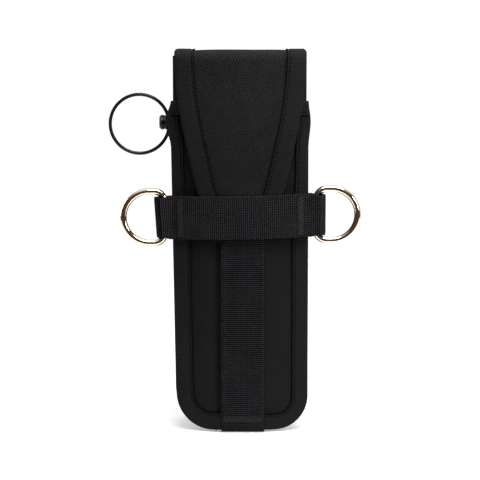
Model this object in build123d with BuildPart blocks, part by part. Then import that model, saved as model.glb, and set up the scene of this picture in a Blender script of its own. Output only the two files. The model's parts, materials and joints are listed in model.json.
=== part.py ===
from build123d import *

import os
from math import cos, radians, sin, sqrt

# A compact breathing air set in its belt holster.  A slim air cylinder with a cross valve and a demand
# regulator stands in a boxed nylon holster.  The holster is a flat stiffened back panel, an arched padded
# front panel and a U-shaped gusset between them, all edged with binding tape.  A tapered flap folds over
# the mouth and its tongue tucks behind a webbing keeper strap, which carries a D-ring at each side.
# Millimetres.  X runs to the right, Y from the front to the back, Z up.  The origin is on the underside of
# the load webbing, below the axis of the cylinder.

os.makedirs("parts", exist_ok=True)

# ---------------------------------------------------------------- driving dimensions
webbing_width = 38.0
webbing_thick = 1.6
binding_thick = 0.8
binding_width = 12.8

left_top, left_low = 59.6, 55.8  # half widths of the panels, at the gusset's top and at the foot
right_top, right_low = 58.3, 58.8  # the cut is not quite the same on both sides
corner_radius = 32.0
panel_bottom = 2.5
mouth_height = 290.0
back_top = 328.0
ear_left = 64.5  # half widths where the front panel swells over the ends of the valve
ear_right = 60.2
ear_middle = 273.0
ear_low = 250.0
ear_high = 291.0

cylinder_radius = 25.4
room = 28.0  # from the cylinder's axis to each panel, at the middle
front_thick = 4.0
back_outer = room + 4.0
arch_rise = 12.0
arch_radius = (59.0**2 + arch_rise**2) / (2 * arch_rise)  # inside of the front panel
arch_centre = arch_radius - room

gusset_thick = 2.0
gusset_inset = binding_width + 0.2
gusset_top = 250.0

strap_middle = 191.0
strap_inner = 8.3  # depths in front of the inside of the front panel
strip_inner = 4.85
strip_centre = 2.0
strip_top = 176.0

flap_top = 333.0
flap_low = 211.0
flap_radius = 260.0
flap_gap = 5.1
flap_thick = 3.4
flap_under = flap_top - 3.6

ring_wire = 2.9
ring_half = 22.6
ring_corner = 9.0
ring_reach = 35.9
ring_bar_x = 66.0
ring_bar_y = -22.6
ring_left_z = 189.8
ring_right_z = 192.2
tab_width = 36.0

valve_height = 271.0
valve_radius = 12.5
plunger_radius = 6.5
plunger_tip = -71.0
pull_hole_x = -62.7
collar_radius = 7.6  # the collar that stops the plunger in its gland
pull_radius = 25.8
pull_droop = 3.3  # degrees that the ring hangs below the level of its hole
pull_wire = 1.5

regulator_floor = 288.2
regulator_radius = 23.0


def keep(built, name):
    """Labels a finished piece and writes it."""
    built.part.label = name
    export_step(built.part, f"parts/{name}.step")


# ---------------------------------------------------------------- outlines of the panels, drawn in X and Z
def front_outline(inset):
    """Front panel seen from the front: square mouth, swelling ears, round bottom corners."""
    left, right, foot_z = inset - left_top, right_top - inset, panel_bottom + inset
    with BuildSketch() as drawn:
        with BuildLine():
            foot = Line((inset - left_low, foot_z), (right_low - inset, foot_z))
            side = Line(foot @ 1, (right, ear_low))
            right_ear = ThreePointArc(side @ 1, (ear_right - inset, ear_middle), (right, ear_high))
            mouth = Polyline(right_ear @ 1, (right, mouth_height + 2), (left, mouth_height + 2), (left, ear_high))
            left_ear = ThreePointArc(mouth @ 1, (inset - ear_left, ear_middle), (left, ear_low))
            Line(left_ear @ 1, foot @ 0)
        make_face()
        fillet(drawn.vertices().group_by(Axis.Y)[0], radius=corner_radius - inset)
    return drawn.sketch


def back_outline(inset):
    """Back panel seen from the front, up to the line where the flap is sewn on."""
    left, right, foot_z = inset - left_top, right_top - inset, panel_bottom + inset
    with BuildSketch() as drawn:
        with BuildLine():
            Polyline(
                (inset - left_low, foot_z),
                (right_low - inset, foot_z),
                (right, gusset_top),
                (right, back_top - inset),
                (left, back_top - inset),
                (left, gusset_top),
                close=True,
            )
        make_face()
        fillet(drawn.vertices().group_by(Axis.Y)[0], radius=corner_radius - inset)
    return drawn.sketch


def flap_outline(inset, low, high):
    """Tapered flap seen from the front."""
    edge = [(56.4, 335), (53.6, 295), (45.2, 250), (36.2, 211), (28.0, 181)]
    right = [(x - inset, z) for x, z in edge]
    left = [(inset - x, z) for x, z in edge]
    with BuildSketch() as drawn:
        with BuildLine():
            Spline(right)
            Line(right[-1], left[-1])
            Spline(left)
            Line(left[0], right[0])
        make_face()
        with Locations((0, (low + high) / 2)):
            Rectangle(140, high - low, mode=Mode.INTERSECT)
    return drawn.sketch


def arch_section(near, far, left, right):
    """Strip of the arch seen from above, between two depths in front of the inside of the panel."""
    with BuildSketch() as drawn:
        with Locations((0, arch_centre)):
            Circle(arch_radius + far)
            Circle(arch_radius + near, mode=Mode.SUBTRACT)
        with Locations(((left + right) / 2, -room)):
            Rectangle(right - left, 80, mode=Mode.INTERSECT)
    return drawn.sketch


def flap_section(near, far):
    """Strip of the flap's flatter arch seen from above, counted from the inside of the flap."""
    with BuildSketch() as drawn:
        with Locations((0, flap_radius - room - flap_gap)):
            Circle(flap_radius + far)
            Circle(flap_radius + near, mode=Mode.SUBTRACT)
        with Locations((0, -room - 10)):
            Rectangle(130, 80, mode=Mode.INTERSECT)
    return drawn.sketch


def arched(section, low, high, outline=None):
    """A strip of the arch from low to high, trimmed to an outline."""
    with BuildPart() as made:
        with BuildSketch(Plane.XY.offset(low)):
            add(section)
        extrude(amount=high - low)
        if outline is not None:
            with BuildSketch(Plane.XZ.offset(70)):
                add(outline)
            extrude(amount=-140, mode=Mode.INTERSECT)
    return made


def plate(outline, front, back):
    """A flat layer of that outline between two depths."""
    with BuildPart() as made:
        with BuildSketch(Plane.XZ.offset(-front)):
            add(outline)
        extrude(amount=-(back - front))
    return made


def turned(points, centre=(0, 0, 0), axis="Z"):
    """A solid of revolution from (radius, height) points, about Z or about X."""
    if axis == "Z":
        plane = Plane(origin=centre, x_dir=(1, 0, 0), z_dir=(0, -1, 0))
    else:
        plane = Plane(origin=centre, x_dir=(0, 0, 1), z_dir=(0, 1, 0))
    with BuildPart() as made:
        with BuildSketch(plane):
            with BuildLine():
                Polyline(*points, close=True)
            make_face()
        revolve(axis=Axis(centre, (0, 0, 1) if axis == "Z" else (1, 0, 0)))
    return made


front_full = front_outline(0)
back_full = back_outline(0)

# ---------------------------------------------------------------- back panel
keep(plate(back_full, back_outer - 1.2, back_outer), "back_shell")

stiffener = plate(back_outline(16), back_outer - 2.8, back_outer - 1.2)
keep(stiffener, "back_stiffener")

with BuildPart() as back_lining:
    add(plate(back_full, room, back_outer - 1.2).part)
    add(stiffener.part, mode=Mode.SUBTRACT)
keep(back_lining, "back_lining")

with BuildPart() as back_binding:
    add(plate(back_outline(-binding_thick), room - binding_thick, back_outer + binding_thick).part)
    add(plate(back_outline(binding_width), room - 2, back_outer + 2).part, mode=Mode.SUBTRACT)
    add(plate(back_full, room, back_outer).part, mode=Mode.SUBTRACT)
keep(back_binding, "back_binding")

# ---------------------------------------------------------------- gusset, a U between the two panels
with BuildPart() as gusset:
    add(plate(back_outline(gusset_inset), -40, room).part)
    add(plate(back_outline(gusset_inset + gusset_thick), -41, room + 1).part, mode=Mode.SUBTRACT)
    with BuildSketch(Plane.XY):
        with Locations((0, arch_centre)):
            Circle(arch_radius)
        with Locations((0, room - 50)):
            Rectangle(130, 100, mode=Mode.INTERSECT)
    extrude(amount=gusset_top, mode=Mode.INTERSECT)
keep(gusset, "gusset")

# ---------------------------------------------------------------- front panel, three layers on one arch
for name, near, far in (("front_lining", 0, 0.8), ("front_foam", 0.8, 2.8), ("front_shell", 2.8, front_thick)):
    keep(arched(arch_section(near, far, -70, 70), 0, mouth_height, front_full), name)

front_body = arched(arch_section(0, front_thick, -70, 70), 0, mouth_height, front_full)

with BuildPart() as front_binding:
    section = arch_section(-binding_thick, front_thick + binding_thick, -70, 70)
    add(arched(section, 0, mouth_height, front_outline(-binding_thick)).part)
    add(plate(front_outline(binding_width), -60, 10).part, mode=Mode.SUBTRACT)
    add(front_body.part, mode=Mode.SUBTRACT)
keep(front_binding, "front_binding")

with BuildPart() as mouth_binding:
    seam = binding_width + 0.3
    section = arch_section(-binding_thick, front_thick + binding_thick, seam - left_top, right_top - seam)
    add(arched(section, mouth_height - binding_width, mouth_height + binding_thick).part)
    add(front_body.part, mode=Mode.SUBTRACT)
keep(mouth_binding, "mouth_binding")

keep(arched(arch_section(front_thick, front_thick + 0.8, -22, 22), 184, 207), "loop_patch")

# ---------------------------------------------------------------- load webbing: front, underside, back loop
strip_left = strip_centre - webbing_width / 2
strip_right = strip_centre + webbing_width / 2
strip_back = back_outer + binding_thick + 0.1
strip_section = arch_section(strip_inner, strip_inner + webbing_thick, strip_left, strip_right)

with BuildPart() as front_strip:
    add(arched(strip_section, 0, strip_top).part)
    with BuildSketch(Plane.XY):
        add(arch_section(-80, strip_inner + webbing_thick, strip_left, strip_right))
        with Locations((strip_centre, (strip_back + webbing_thick) / 2)):
            Rectangle(webbing_width, strip_back + webbing_thick)
    extrude(amount=webbing_thick)
    with BuildSketch(Plane.XY):
        with Locations((strip_centre, strip_back + webbing_thick / 2)):
            Rectangle(webbing_width, webbing_thick)
    extrude(amount=30)
keep(front_strip, "front_strip")

loop_gap = 6.0
loop_low, loop_high = 120.0, 196.0
with BuildPart() as belt_loop:
    with BuildSketch(Plane.YZ.offset(strip_left)):
        with BuildLine():
            FilletPolyline(
                (strip_back, 30.2),
                (strip_back, loop_low - 6),
                (strip_back + loop_gap, loop_low + 2),
                (strip_back + loop_gap, loop_high - 2),
                (strip_back, loop_high + 6),
                (strip_back, 238),
                radius=5,
            )
            offset(amount=webbing_thick, side=Side.RIGHT, kind=Kind.ARC, closed=True)
        make_face()
    extrude(amount=webbing_width)
keep(belt_loop, "belt_loop")

# ---------------------------------------------------------------- keeper strap and the tabs of the D-rings
strap_low = strap_middle - webbing_width / 2
strap_high = strap_middle + webbing_width / 2
strap_outer = strap_inner + webbing_thick
keep(arched(arch_section(strap_inner, strap_outer, -59.5, 59.5), strap_low, strap_high), "keeper_strap")

# How far the ring's bend reaches from its bar at the edge of the tab
tab_edge = tab_width / 2 - (ring_half - ring_corner)
bend_reach = ring_corner - sqrt((ring_corner - ring_wire) ** 2 - tab_edge**2)

for side, name, middle in ((-1, "ring_tab_left", ring_left_z), (1, "ring_tab_right", ring_right_z)):
    low, high = middle - tab_width / 2, middle + tab_width / 2
    bar = (side * ring_bar_x, ring_bar_y)
    end = (side * (ring_bar_x + 3), ring_bar_y)
    with BuildSketch() as tab_outside:
        with BuildLine():
            for centre, radius in ((bar, 6.2), (end, 6.2), ((side * 60.6, -22.9), 1.5)):
                CenterArc(centre, radius, 0, 360)
        make_hull()
    with BuildSketch() as tab_inside:
        with BuildLine():
            for centre, radius in ((bar, 4.6), (end, 4.6), ((side * 61.8, -22.9), 0.3)):
                CenterArc(centre, radius, 0, 360)
        make_hull()
    sewn_left, sewn_right = sorted((side * 46.5, side * 60.5))
    with BuildPart() as tab:
        add(arched(arch_section(4.9, 8.1, sewn_left, sewn_right), low, high).part)
        with BuildSketch(Plane.XY.offset(low)):
            add(tab_outside.sketch)
        extrude(amount=tab_width)
        with BuildSketch(Plane.XY.offset(low)):
            add(tab_inside.sketch)
        extrude(amount=tab_width, mode=Mode.SUBTRACT)
        flare = [(0, -tab_width / 2), (bend_reach + 0.4, -tab_width / 2), (ring_wire + 0.4, -13)]
        flare += [(ring_wire + 0.4, 13), (bend_reach + 0.4, tab_width / 2), (0, tab_width / 2)]
        add(turned(flare, (*bar, middle)).part, mode=Mode.SUBTRACT)
    keep(tab, name)

for side, name, middle in ((-1, "d_ring_left", ring_left_z), (1, "d_ring_right", ring_right_z)):
    bar_x, far_x = side * ring_bar_x, side * (ring_bar_x + ring_reach)
    round_x = far_x - side * ring_half
    low, high = middle - ring_half, middle + ring_half
    turn_x = bar_x + side * ring_corner
    inner = ring_corner * (1 - sqrt(0.5))
    with BuildPart() as ring:
        with BuildLine(Plane.XZ.offset(-ring_bar_y)) as ring_path:
            Line((bar_x, middle), (bar_x, high - ring_corner))
            ThreePointArc(
                (bar_x, high - ring_corner), (bar_x + side * inner, high - inner), (turn_x, high)
            )
            Line((turn_x, high), (round_x, high))
            ThreePointArc((round_x, high), (far_x, middle), (round_x, low))
            Line((round_x, low), (turn_x, low))
            ThreePointArc(
                (turn_x, low), (bar_x + side * inner, low + inner), (bar_x, low + ring_corner)
            )
            Line((bar_x, low + ring_corner), (bar_x, middle))
        with BuildSketch(Plane(origin=(bar_x, ring_bar_y, middle), z_dir=(0, 0, 1))):
            Circle(ring_wire)
        sweep(path=ring_path.wire())
    keep(ring, name)

# ---------------------------------------------------------------- bar tacks, raised pads of thread
with BuildPart() as keeper_bartacks:
    for left, right in ((-55.5, -48.5), (48.5, 55.5)):
        pad = arch_section(strap_outer, strap_outer + 0.4, left, right)
        add(arched(pad, strap_low + 2, strap_high - 2).part)
keep(keeper_bartacks, "keeper_bartacks")

strip_outer = strip_inner + webbing_thick
pad = arch_section(strip_outer, strip_outer + 0.4, strip_left + 2, strip_right - 2)
keep(arched(pad, 8, 15), "strip_bartack")

with BuildPart() as belt_loop_bartacks:
    for height in (104, 206, 229):
        with BuildSketch(Plane.XZ.offset(-(strip_back + webbing_thick))):
            with Locations((strip_centre, height + 3)):
                Rectangle(webbing_width - 4, 6)
        extrude(amount=-0.4)
keep(belt_loop_bartacks, "belt_loop_bartacks")

# ---------------------------------------------------------------- flap: top leaf, front leaf and tongue
flap_half = 56.4
flap_centre = flap_radius - room - flap_gap


def top_leaf(low, high, half):
    """A layer of the flap's top leaf, from the back panel to just inside the front leaf."""
    with BuildPart() as made:
        with BuildSketch(Plane.XY.offset(low)):
            with Locations((0, (back_outer - 45) / 2)):
                Rectangle(2 * half, back_outer + 45)
            with Locations((0, flap_centre)):
                Circle(flap_radius - 0.3, mode=Mode.INTERSECT)
        extrude(amount=high - low)
    return made


keep(top_leaf(flap_under, flap_under + 0.8, flap_half - 1), "flap_top_lining")
keep(top_leaf(flap_under + 0.8, flap_top - 0.8, flap_half - 1), "flap_top_shell")

with BuildPart() as flap_top_bindings:
    add(top_leaf(flap_under - 0.3, flap_top, flap_half).part)
    add(top_leaf(flap_under - 1, flap_top + 1, flap_half - 14).part, mode=Mode.SUBTRACT)
    add(top_leaf(flap_under, flap_top - 0.8, flap_half - 1).part, mode=Mode.SUBTRACT)
keep(flap_top_bindings, "flap_top_bindings")

flap_full = flap_outline(1, flap_low, flap_top - 0.8)
for name, near, far in (
    ("flap_front_lining", 0.4, 1.0),
    ("flap_front_foam", 1.0, 1.8),
    ("flap_front_shell", 1.8, 2.8),
):
    keep(arched(flap_section(near, far), flap_low, flap_top - 0.8, flap_full), name)

flap_inner_leaf = arched(flap_section(0.4, 2.8), flap_low, flap_top - 0.8, flap_full)
for side, name in ((-1, "flap_binding_left"), (1, "flap_binding_right")):
    with BuildPart() as tape:
        add(arched(flap_section(0, flap_thick), flap_low, flap_top, flap_outline(0, flap_low, flap_top)).part)
        core = flap_outline(15, flap_low - 5, flap_top + 2)
        add(arched(flap_section(-2, flap_thick + 2), flap_low - 5, flap_top + 2, core).part, mode=Mode.SUBTRACT)
        add(flap_inner_leaf.part, mode=Mode.SUBTRACT)
        with BuildSketch(Plane.XY.offset(flap_low - 1)):
            with Locations((side * 40, -30)):
                Rectangle(80, 60)
        extrude(amount=flap_top - flap_low + 2, mode=Mode.INTERSECT)
    keep(tape, name)

tongue_shape = flap_outline(0, 181, flap_low - 0.2)
keep(arched(arch_section(5.7, 7.9, -60, 60), 181, flap_low - 0.2, tongue_shape), "flap_tongue")
keep(arched(arch_section(4.9, 5.7, -20, 20), 185, 206), "hook_patch")

# ---------------------------------------------------------------- air cylinder
boot_floor = panel_bottom + gusset_inset + gusset_thick + 0.3
boot_radius = 27.4
cylinder_floor = boot_floor + 2.4
neck_top = 246.0
keep(
    turned(
        [
            (0, boot_floor),
            (boot_radius - 3, boot_floor),
            (boot_radius, boot_floor + 3),
            (boot_radius, 50),
            (cylinder_radius + 0.1, 50),
            (cylinder_radius + 0.1, cylinder_floor + 3.4),
            (cylinder_radius - 3.3, cylinder_floor),
            (0, cylinder_floor),
        ]
    ),
    "cylinder_boot",
)

with BuildPart() as air_cylinder:
    with BuildSketch(Plane.XZ):
        with BuildLine():
            Polyline(
                (0, cylinder_floor),
                (cylinder_radius - 3.4, cylinder_floor),
                (cylinder_radius, cylinder_floor + 3.4),
                (cylinder_radius, 208),
            )
            TangentArc((cylinder_radius, 208), (13, 232), tangent=(0, 1))
            Polyline((13, 232), (13, neck_top), (11.2, neck_top), (11.2, neck_top - 1.8), (8, neck_top - 1.8))
            Polyline((8, neck_top - 1.8), (8, 230))
            TangentArc((cylinder_radius - 3, 206), (8, 230), tangent=(0, 1))
            Polyline((cylinder_radius - 3, 206), (cylinder_radius - 3, 26), (0, 22), (0, cylinder_floor))
        make_face()
    revolve(axis=Axis.Z)
keep(air_cylinder, "air_cylinder")

with BuildPart() as neck_oring:
    with Locations((0, 0, neck_top - 0.9)):
        Torus(9.4, 0.85)
keep(neck_oring, "neck_oring")

# ---------------------------------------------------------------- cross valve on the neck
cross_left, cross_right = -42.0, 40.0
with BuildPart() as valve_body:
    add(turned([(0, 230), (7.9, 230), (7.9, neck_top), (13, neck_top), (13, 262), (0, 262)]).part)
    add(turned([(0, 262), (11, 262), (11, regulator_floor), (0, regulator_floor)]).part)
    with BuildSketch(Plane.YZ.offset(cross_left)):
        with Locations((0, valve_height)):
            Circle(valve_radius)
    extrude(amount=cross_right - cross_left)
    chamfer(valve_body.faces().sort_by(Axis.X)[0].edges(), length=1)
    # bores for the plunger's stem and for the gauge, and the gas way
    with Locations(Location((cross_left, 0, valve_height), (0, -90, 0))):
        Hole(radius=5, depth=36)
    with Locations(Location((cross_right, 0, valve_height), (0, 90, 0))):
        Hole(radius=3, depth=22)
    with BuildSketch(Plane.XY.offset(229)):
        Circle(2.5)
    extrude(amount=60, mode=Mode.SUBTRACT)
    # seats for the burst plug at the back and the fill plug at the front
    with Locations(Location((-22, 0, valve_height), (-90, 0, 0))):
        Hole(radius=4, depth=20)
    with Locations(Location((22, 0, valve_height), (90, 0, 0))):
        Hole(radius=4, depth=20)
keep(valve_body, "valve_body")

for name, x, way, head in (("burst_plug", -22, 1, 5.5), ("fill_plug", 22, -1, 6.5)):
    with BuildPart() as plug:
        with BuildSketch(Plane.XZ.offset(-way * 7)):
            with Locations((x, valve_height)):
                Circle(3.9)
        extrude(amount=-way * 6.2)
        with BuildSketch(Plane.XZ.offset(-way * 12.6)):
            with Locations((x, valve_height)):
                RegularPolygon(head, 6)
        extrude(amount=-way * 6)
    keep(plug, name)

# gland nut, seal, plunger with its pull ring
gland_left = -56.0
with BuildPart() as gland_nut:
    with BuildSketch(Plane.YZ.offset(cross_left)):
        with Locations((0, valve_height)):
            RegularPolygon(12, 6)
    extrude(amount=-8)
    with BuildSketch(Plane.YZ.offset(cross_left - 8)):
        with Locations((0, valve_height)):
            Circle(9.6)
    extrude(amount=gland_left - cross_left + 8)
    with BuildSketch(Plane.YZ.offset(cross_left + 1)):
        with Locations((0, valve_height)):
            Circle(plunger_radius + 0.06)
    extrude(amount=gland_left - cross_left - 2, mode=Mode.SUBTRACT)
    chamber = [(0, cross_left), (collar_radius + 0.1, cross_left), (collar_radius + 0.1, -49.6), (0, -49.6)]
    add(turned(chamber, (0, 0, valve_height), "X").part, mode=Mode.SUBTRACT)
    seat = [(0, -51), (plunger_radius + 1.3, -51), (plunger_radius + 1.3, -53.2), (0, -53.2)]
    add(turned(seat, (0, 0, valve_height), "X").part, mode=Mode.SUBTRACT)
keep(gland_nut, "gland_nut")

with BuildPart() as gland_oring:
    with BuildSketch(Plane.YZ.offset(-53)):
        with Locations((0, valve_height)):
            Circle(plunger_radius + 1.25)
            Circle(plunger_radius + 0.05, mode=Mode.SUBTRACT)
    extrude(amount=1.8)
keep(gland_oring, "gland_oring")

with BuildPart() as pull_plunger:
    stem = [(0, -12), (3, -12), (3, -43), (collar_radius, -43), (collar_radius, -45), (plunger_radius, -45)]
    stem += [(plunger_radius, -65.5)]
    stem += [(plunger_radius - 0.5, -66), (plunger_radius - 0.5, -67), (plunger_radius, -67.5)]
    stem += [(plunger_radius, plunger_tip + 1.6), (plunger_radius - 1.6, plunger_tip), (0, plunger_tip)]
    add(turned(stem, (0, 0, valve_height), "X").part)
    hole = [(0, -7), (3.2, -7), (pull_wire + 0.2, -1), (pull_wire + 0.2, 1), (3.2, 7), (0, 7)]
    add(turned(hole, (pull_hole_x, 0, valve_height)).part, mode=Mode.SUBTRACT)
keep(pull_plunger, "pull_plunger")

with BuildPart() as valve_seat:
    with BuildSketch(Plane.YZ.offset(-12)):
        with Locations((0, valve_height)):
            Circle(4.6)
    extrude(amount=3)
keep(valve_seat, "valve_seat")

with BuildPart() as pull_ring:
    droop = radians(pull_droop)
    middle = (pull_hole_x - pull_radius * cos(droop), 0, valve_height - pull_radius * sin(droop))
    with Locations(Location(middle, (90, 0, 0))):
        Torus(pull_radius, pull_wire)
keep(pull_ring, "pull_ring")

# ---------------------------------------------------------------- pressure gauge on the right end
gauge_mid = (0, 0, valve_height)
case = [(0, 40.1), (13, 40.1), (13, 54), (11.6, 54), (11.6, 45), (0, 45)]
with BuildPart() as gauge_case:
    add(turned(case, gauge_mid, "X").part)
    with BuildSketch(Plane.YZ.offset(30)):
        with Locations((0, valve_height)):
            Circle(2.9)
    extrude(amount=10.2)
keep(gauge_case, "gauge_case")

dial = [(1.2, 48.4), (11.4, 48.4), (11.4, 49), (1.2, 49)]
keep(turned(dial, gauge_mid, "X"), "gauge_dial")
keep(turned([(0, 52), (11.4, 52), (11.4, 53.6), (0, 53.6)], gauge_mid, "X"), "gauge_lens")
bezel = [(10.4, 54.05), (13.4, 54.05), (13.4, 56.4), (12.4, 57.4), (10.8, 57.4), (10.4, 56.6)]
keep(turned(bezel, gauge_mid, "X"), "gauge_bezel")

with BuildPart() as gauge_pointer:
    with BuildSketch(Plane.YZ.offset(49.4)):
        with Locations((0, valve_height)):
            Circle(1.8)
        with BuildLine():
            Polyline(
                (-0.9, valve_height - 3),
                (0.9, valve_height - 3),
                (0.3, valve_height + 9.4),
                (-0.3, valve_height + 9.4),
                close=True,
            )
        make_face()
    extrude(amount=0.5)
    with BuildSketch(Plane.YZ.offset(45.6)):
        with Locations((0, valve_height)):
            Circle(0.9)
    extrude(amount=4)
keep(gauge_pointer, "gauge_pointer")

# ---------------------------------------------------------------- demand regulator on top of the valve
port_height = 297.6
housing_top = 306.2
with BuildPart() as regulator_housing:
    outside = [(0, regulator_floor + 0.1), (18, regulator_floor + 0.1), (regulator_radius, regulator_floor + 3)]
    add(turned(outside + [(regulator_radius, housing_top), (0, housing_top)]).part)
    with BuildSketch(Plane.YZ.offset(-26)):
        with Locations((0, port_height)):
            Circle(8.4)
    extrude(amount=26)
    with BuildSketch(Plane.YZ):
        with Locations((0, port_height)):
            Circle(8.6)
    extrude(amount=33)
    cavity = [(0, regulator_floor + 2.6), (17, regulator_floor + 2.6), (21, regulator_floor + 5)]
    add(turned(cavity + [(21, housing_top + 1), (0, housing_top + 1)]).part, mode=Mode.SUBTRACT)
    with BuildSketch(Plane.YZ.offset(-27)):
        with Locations((0, port_height)):
            Circle(6.2)
    extrude(amount=61, mode=Mode.SUBTRACT)
    with BuildSketch(Plane.XY.offset(regulator_floor - 1)):
        Circle(5.1)
    extrude(amount=5, mode=Mode.SUBTRACT)
keep(regulator_housing, "regulator_housing")

with BuildPart() as inlet_nozzle:
    add(turned([(1.5, regulator_floor), (5, regulator_floor), (5, 296), (1.5, 296)]).part)
    with BuildSketch(Plane.XZ.offset(-2.5)):
        with Locations((-10, 295)):
            Rectangle(6, 5.4)
        with Locations((-6, 293.4)):
            Rectangle(6, 2.2)
    extrude(amount=5)
    with BuildSketch(Plane.XZ.offset(-3)):
        with Locations((-11, 295.6)):
            Circle(1.1)
    extrude(amount=6, mode=Mode.SUBTRACT)
    with BuildSketch(Plane.XZ.offset(-1.3)):
        with Locations((-11, 296.4)):
            Rectangle(9, 4.4)
    extrude(amount=2.6, mode=Mode.SUBTRACT)
keep(inlet_nozzle, "inlet_nozzle")

with BuildPart() as demand_lever:
    with BuildSketch(Plane.XZ.offset(-2.4)):
        with Locations((-11, 295.6)):
            Circle(1.05)
    extrude(amount=4.8)
    with BuildSketch(Plane.XZ.offset(-1.1)):
        with BuildLine():
            Polyline(
                (-11.8, 295.2), (-10.2, 295.2), (-9.4, 300.6), (0.4, 304.4), (0.4, 305.6), (-10.6, 301.6), close=True
            )
        make_face()
    extrude(amount=2.2)
keep(demand_lever, "demand_lever")

keep(turned([(8.2, housing_top), (22.8, housing_top), (22.8, 307), (8.2, 307)]), "diaphragm")
keep(turned([(0, 306.3), (8, 306.3), (8, 306.9), (0, 306.9)]), "diaphragm_plate")

cover_top = 315.0
with BuildPart() as regulator_cover:
    shell = [(7.4, 308.4), (21, 308.4), (21, 307), (regulator_radius, 307), (regulator_radius, 311)]
    shell += [(19, cover_top), (9.2, cover_top), (9.2, 313.4), (12.4, 313.4), (12.4, 309.4), (7.4, 309.4)]
    add(turned(shell).part)
    with BuildSketch(Plane.XY.offset(306)):
        with PolarLocations(17, 6, start_angle=30):
            Circle(1.6)
    extrude(amount=11, mode=Mode.SUBTRACT)
keep(regulator_cover, "regulator_cover")

with BuildPart() as cover_screws:
    with BuildSketch(Plane.XY.offset(309.6)):
        with PolarLocations(17, 3, start_angle=30):
            Circle(1.5)
    extrude(amount=5.2)
keep(cover_screws, "cover_screws")

button = [(0, 311.6), (11.9, 311.6), (11.9, 313.2), (9.0, 313.2), (9.0, 318.4), (7.6, 319.8), (0, 319)]
with BuildPart() as purge_button:
    add(turned(button).part)
    with BuildSketch(Plane.XY.offset(307)):
        Circle(2.5)
    extrude(amount=4.8)
keep(purge_button, "purge_button")

with BuildPart() as purge_spring:
    with BuildLine() as coil:
        Helix(pitch=0.8, height=1.6, radius=9.7, center=(0, 0, 309.7))
    with BuildSketch(Plane(origin=coil.line @ 0, z_dir=coil.line % 0)):
        Circle(0.25)
    sweep(path=coil.line, is_frenet=True)
keep(purge_spring, "purge_spring")

keep(turned([(0, -27), (8, -27), (8, -26.1), (0, -26.1)], (0, 0, port_height), "X"), "exhaust_valve")
with BuildPart() as exhaust_cover:
    grille = [(8.5, -24.6), (10.5, -24.6), (10.5, -31), (8.5, -33), (0, -33), (0, -31.4), (8.5, -31.4)]
    add(turned(grille, (0, 0, port_height), "X").part)
    with BuildSketch(Plane.YZ.offset(-34)):
        with Locations((0, port_height)):
            with GridLocations(5, 0, 3, 1):
                SlotOverall(10, 2, rotation=90)
    extrude(amount=3, mode=Mode.SUBTRACT)
keep(exhaust_cover, "exhaust_cover")

with BuildPart() as mouthpiece:
    with BuildSketch(Plane.YZ.offset(25)):
        with Locations((0, port_height)):
            Circle(10.6)
    extrude(amount=9)
    with BuildSketch(Plane.YZ.offset(34)):
        with Locations((0, port_height)):
            Ellipse(15, 9)
    extrude(amount=14)
    with BuildSketch(Plane.YZ.offset(45)):
        with Locations((0, port_height)):
            SlotOverall(42, 22)
    extrude(amount=3)
    with BuildSketch(Plane.YZ.offset(25)):
        with Locations((0, port_height)):
            Circle(8.6)
    extrude(amount=8.2, mode=Mode.SUBTRACT)
    with BuildSketch(Plane.YZ.offset(33)):
        with Locations((0, port_height)):
            Circle(6.2)
    extrude(amount=16, mode=Mode.SUBTRACT)
keep(mouthpiece, "mouthpiece")

with BuildPart() as mouthpiece_clamp:
    add(turned([(10.7, 27), (11.7, 27), (11.7, 30.6), (10.7, 30.6)], (0, 0, port_height), "X").part)
    with BuildSketch(Plane.YZ.offset(26.8)):
        with Locations((0, port_height + 12.4)):
            Rectangle(4.4, 2.4)
    extrude(amount=4)
keep(mouthpiece_clamp, "mouthpiece_clamp")
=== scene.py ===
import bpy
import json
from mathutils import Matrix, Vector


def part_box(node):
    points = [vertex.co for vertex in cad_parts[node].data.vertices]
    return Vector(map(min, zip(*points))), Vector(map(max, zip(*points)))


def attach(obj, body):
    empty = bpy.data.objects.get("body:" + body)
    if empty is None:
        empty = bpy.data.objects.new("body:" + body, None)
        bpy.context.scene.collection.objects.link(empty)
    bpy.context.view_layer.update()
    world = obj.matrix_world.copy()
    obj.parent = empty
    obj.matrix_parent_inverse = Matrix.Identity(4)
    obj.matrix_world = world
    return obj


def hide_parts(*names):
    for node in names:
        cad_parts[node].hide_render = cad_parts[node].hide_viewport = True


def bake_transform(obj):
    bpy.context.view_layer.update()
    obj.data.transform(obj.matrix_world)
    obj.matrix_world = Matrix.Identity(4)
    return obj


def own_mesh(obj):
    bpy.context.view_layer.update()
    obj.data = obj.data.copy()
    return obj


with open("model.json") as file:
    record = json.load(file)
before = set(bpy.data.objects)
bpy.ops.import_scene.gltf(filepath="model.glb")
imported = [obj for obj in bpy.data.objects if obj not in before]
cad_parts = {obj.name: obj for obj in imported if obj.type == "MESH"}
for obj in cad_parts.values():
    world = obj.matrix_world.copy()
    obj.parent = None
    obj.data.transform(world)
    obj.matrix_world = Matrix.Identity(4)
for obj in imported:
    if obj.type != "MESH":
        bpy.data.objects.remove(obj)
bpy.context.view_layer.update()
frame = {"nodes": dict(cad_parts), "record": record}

import json
import math

import bmesh
import bpy
from bpy.props import FloatProperty, FloatVectorProperty, PointerProperty
from mathutils import Matrix, Vector, noise

bl_info = {
    "name": "Holstered Breathing Air Set",
    "version": (1, 0, 0),
    "blender": (4, 5, 0),
    "location": "View3D > Sidebar > Air Set",
    "description": "Dresses a compact breathing air set in its sewn nylon holster",
    "category": "Add Mesh",
}

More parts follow.
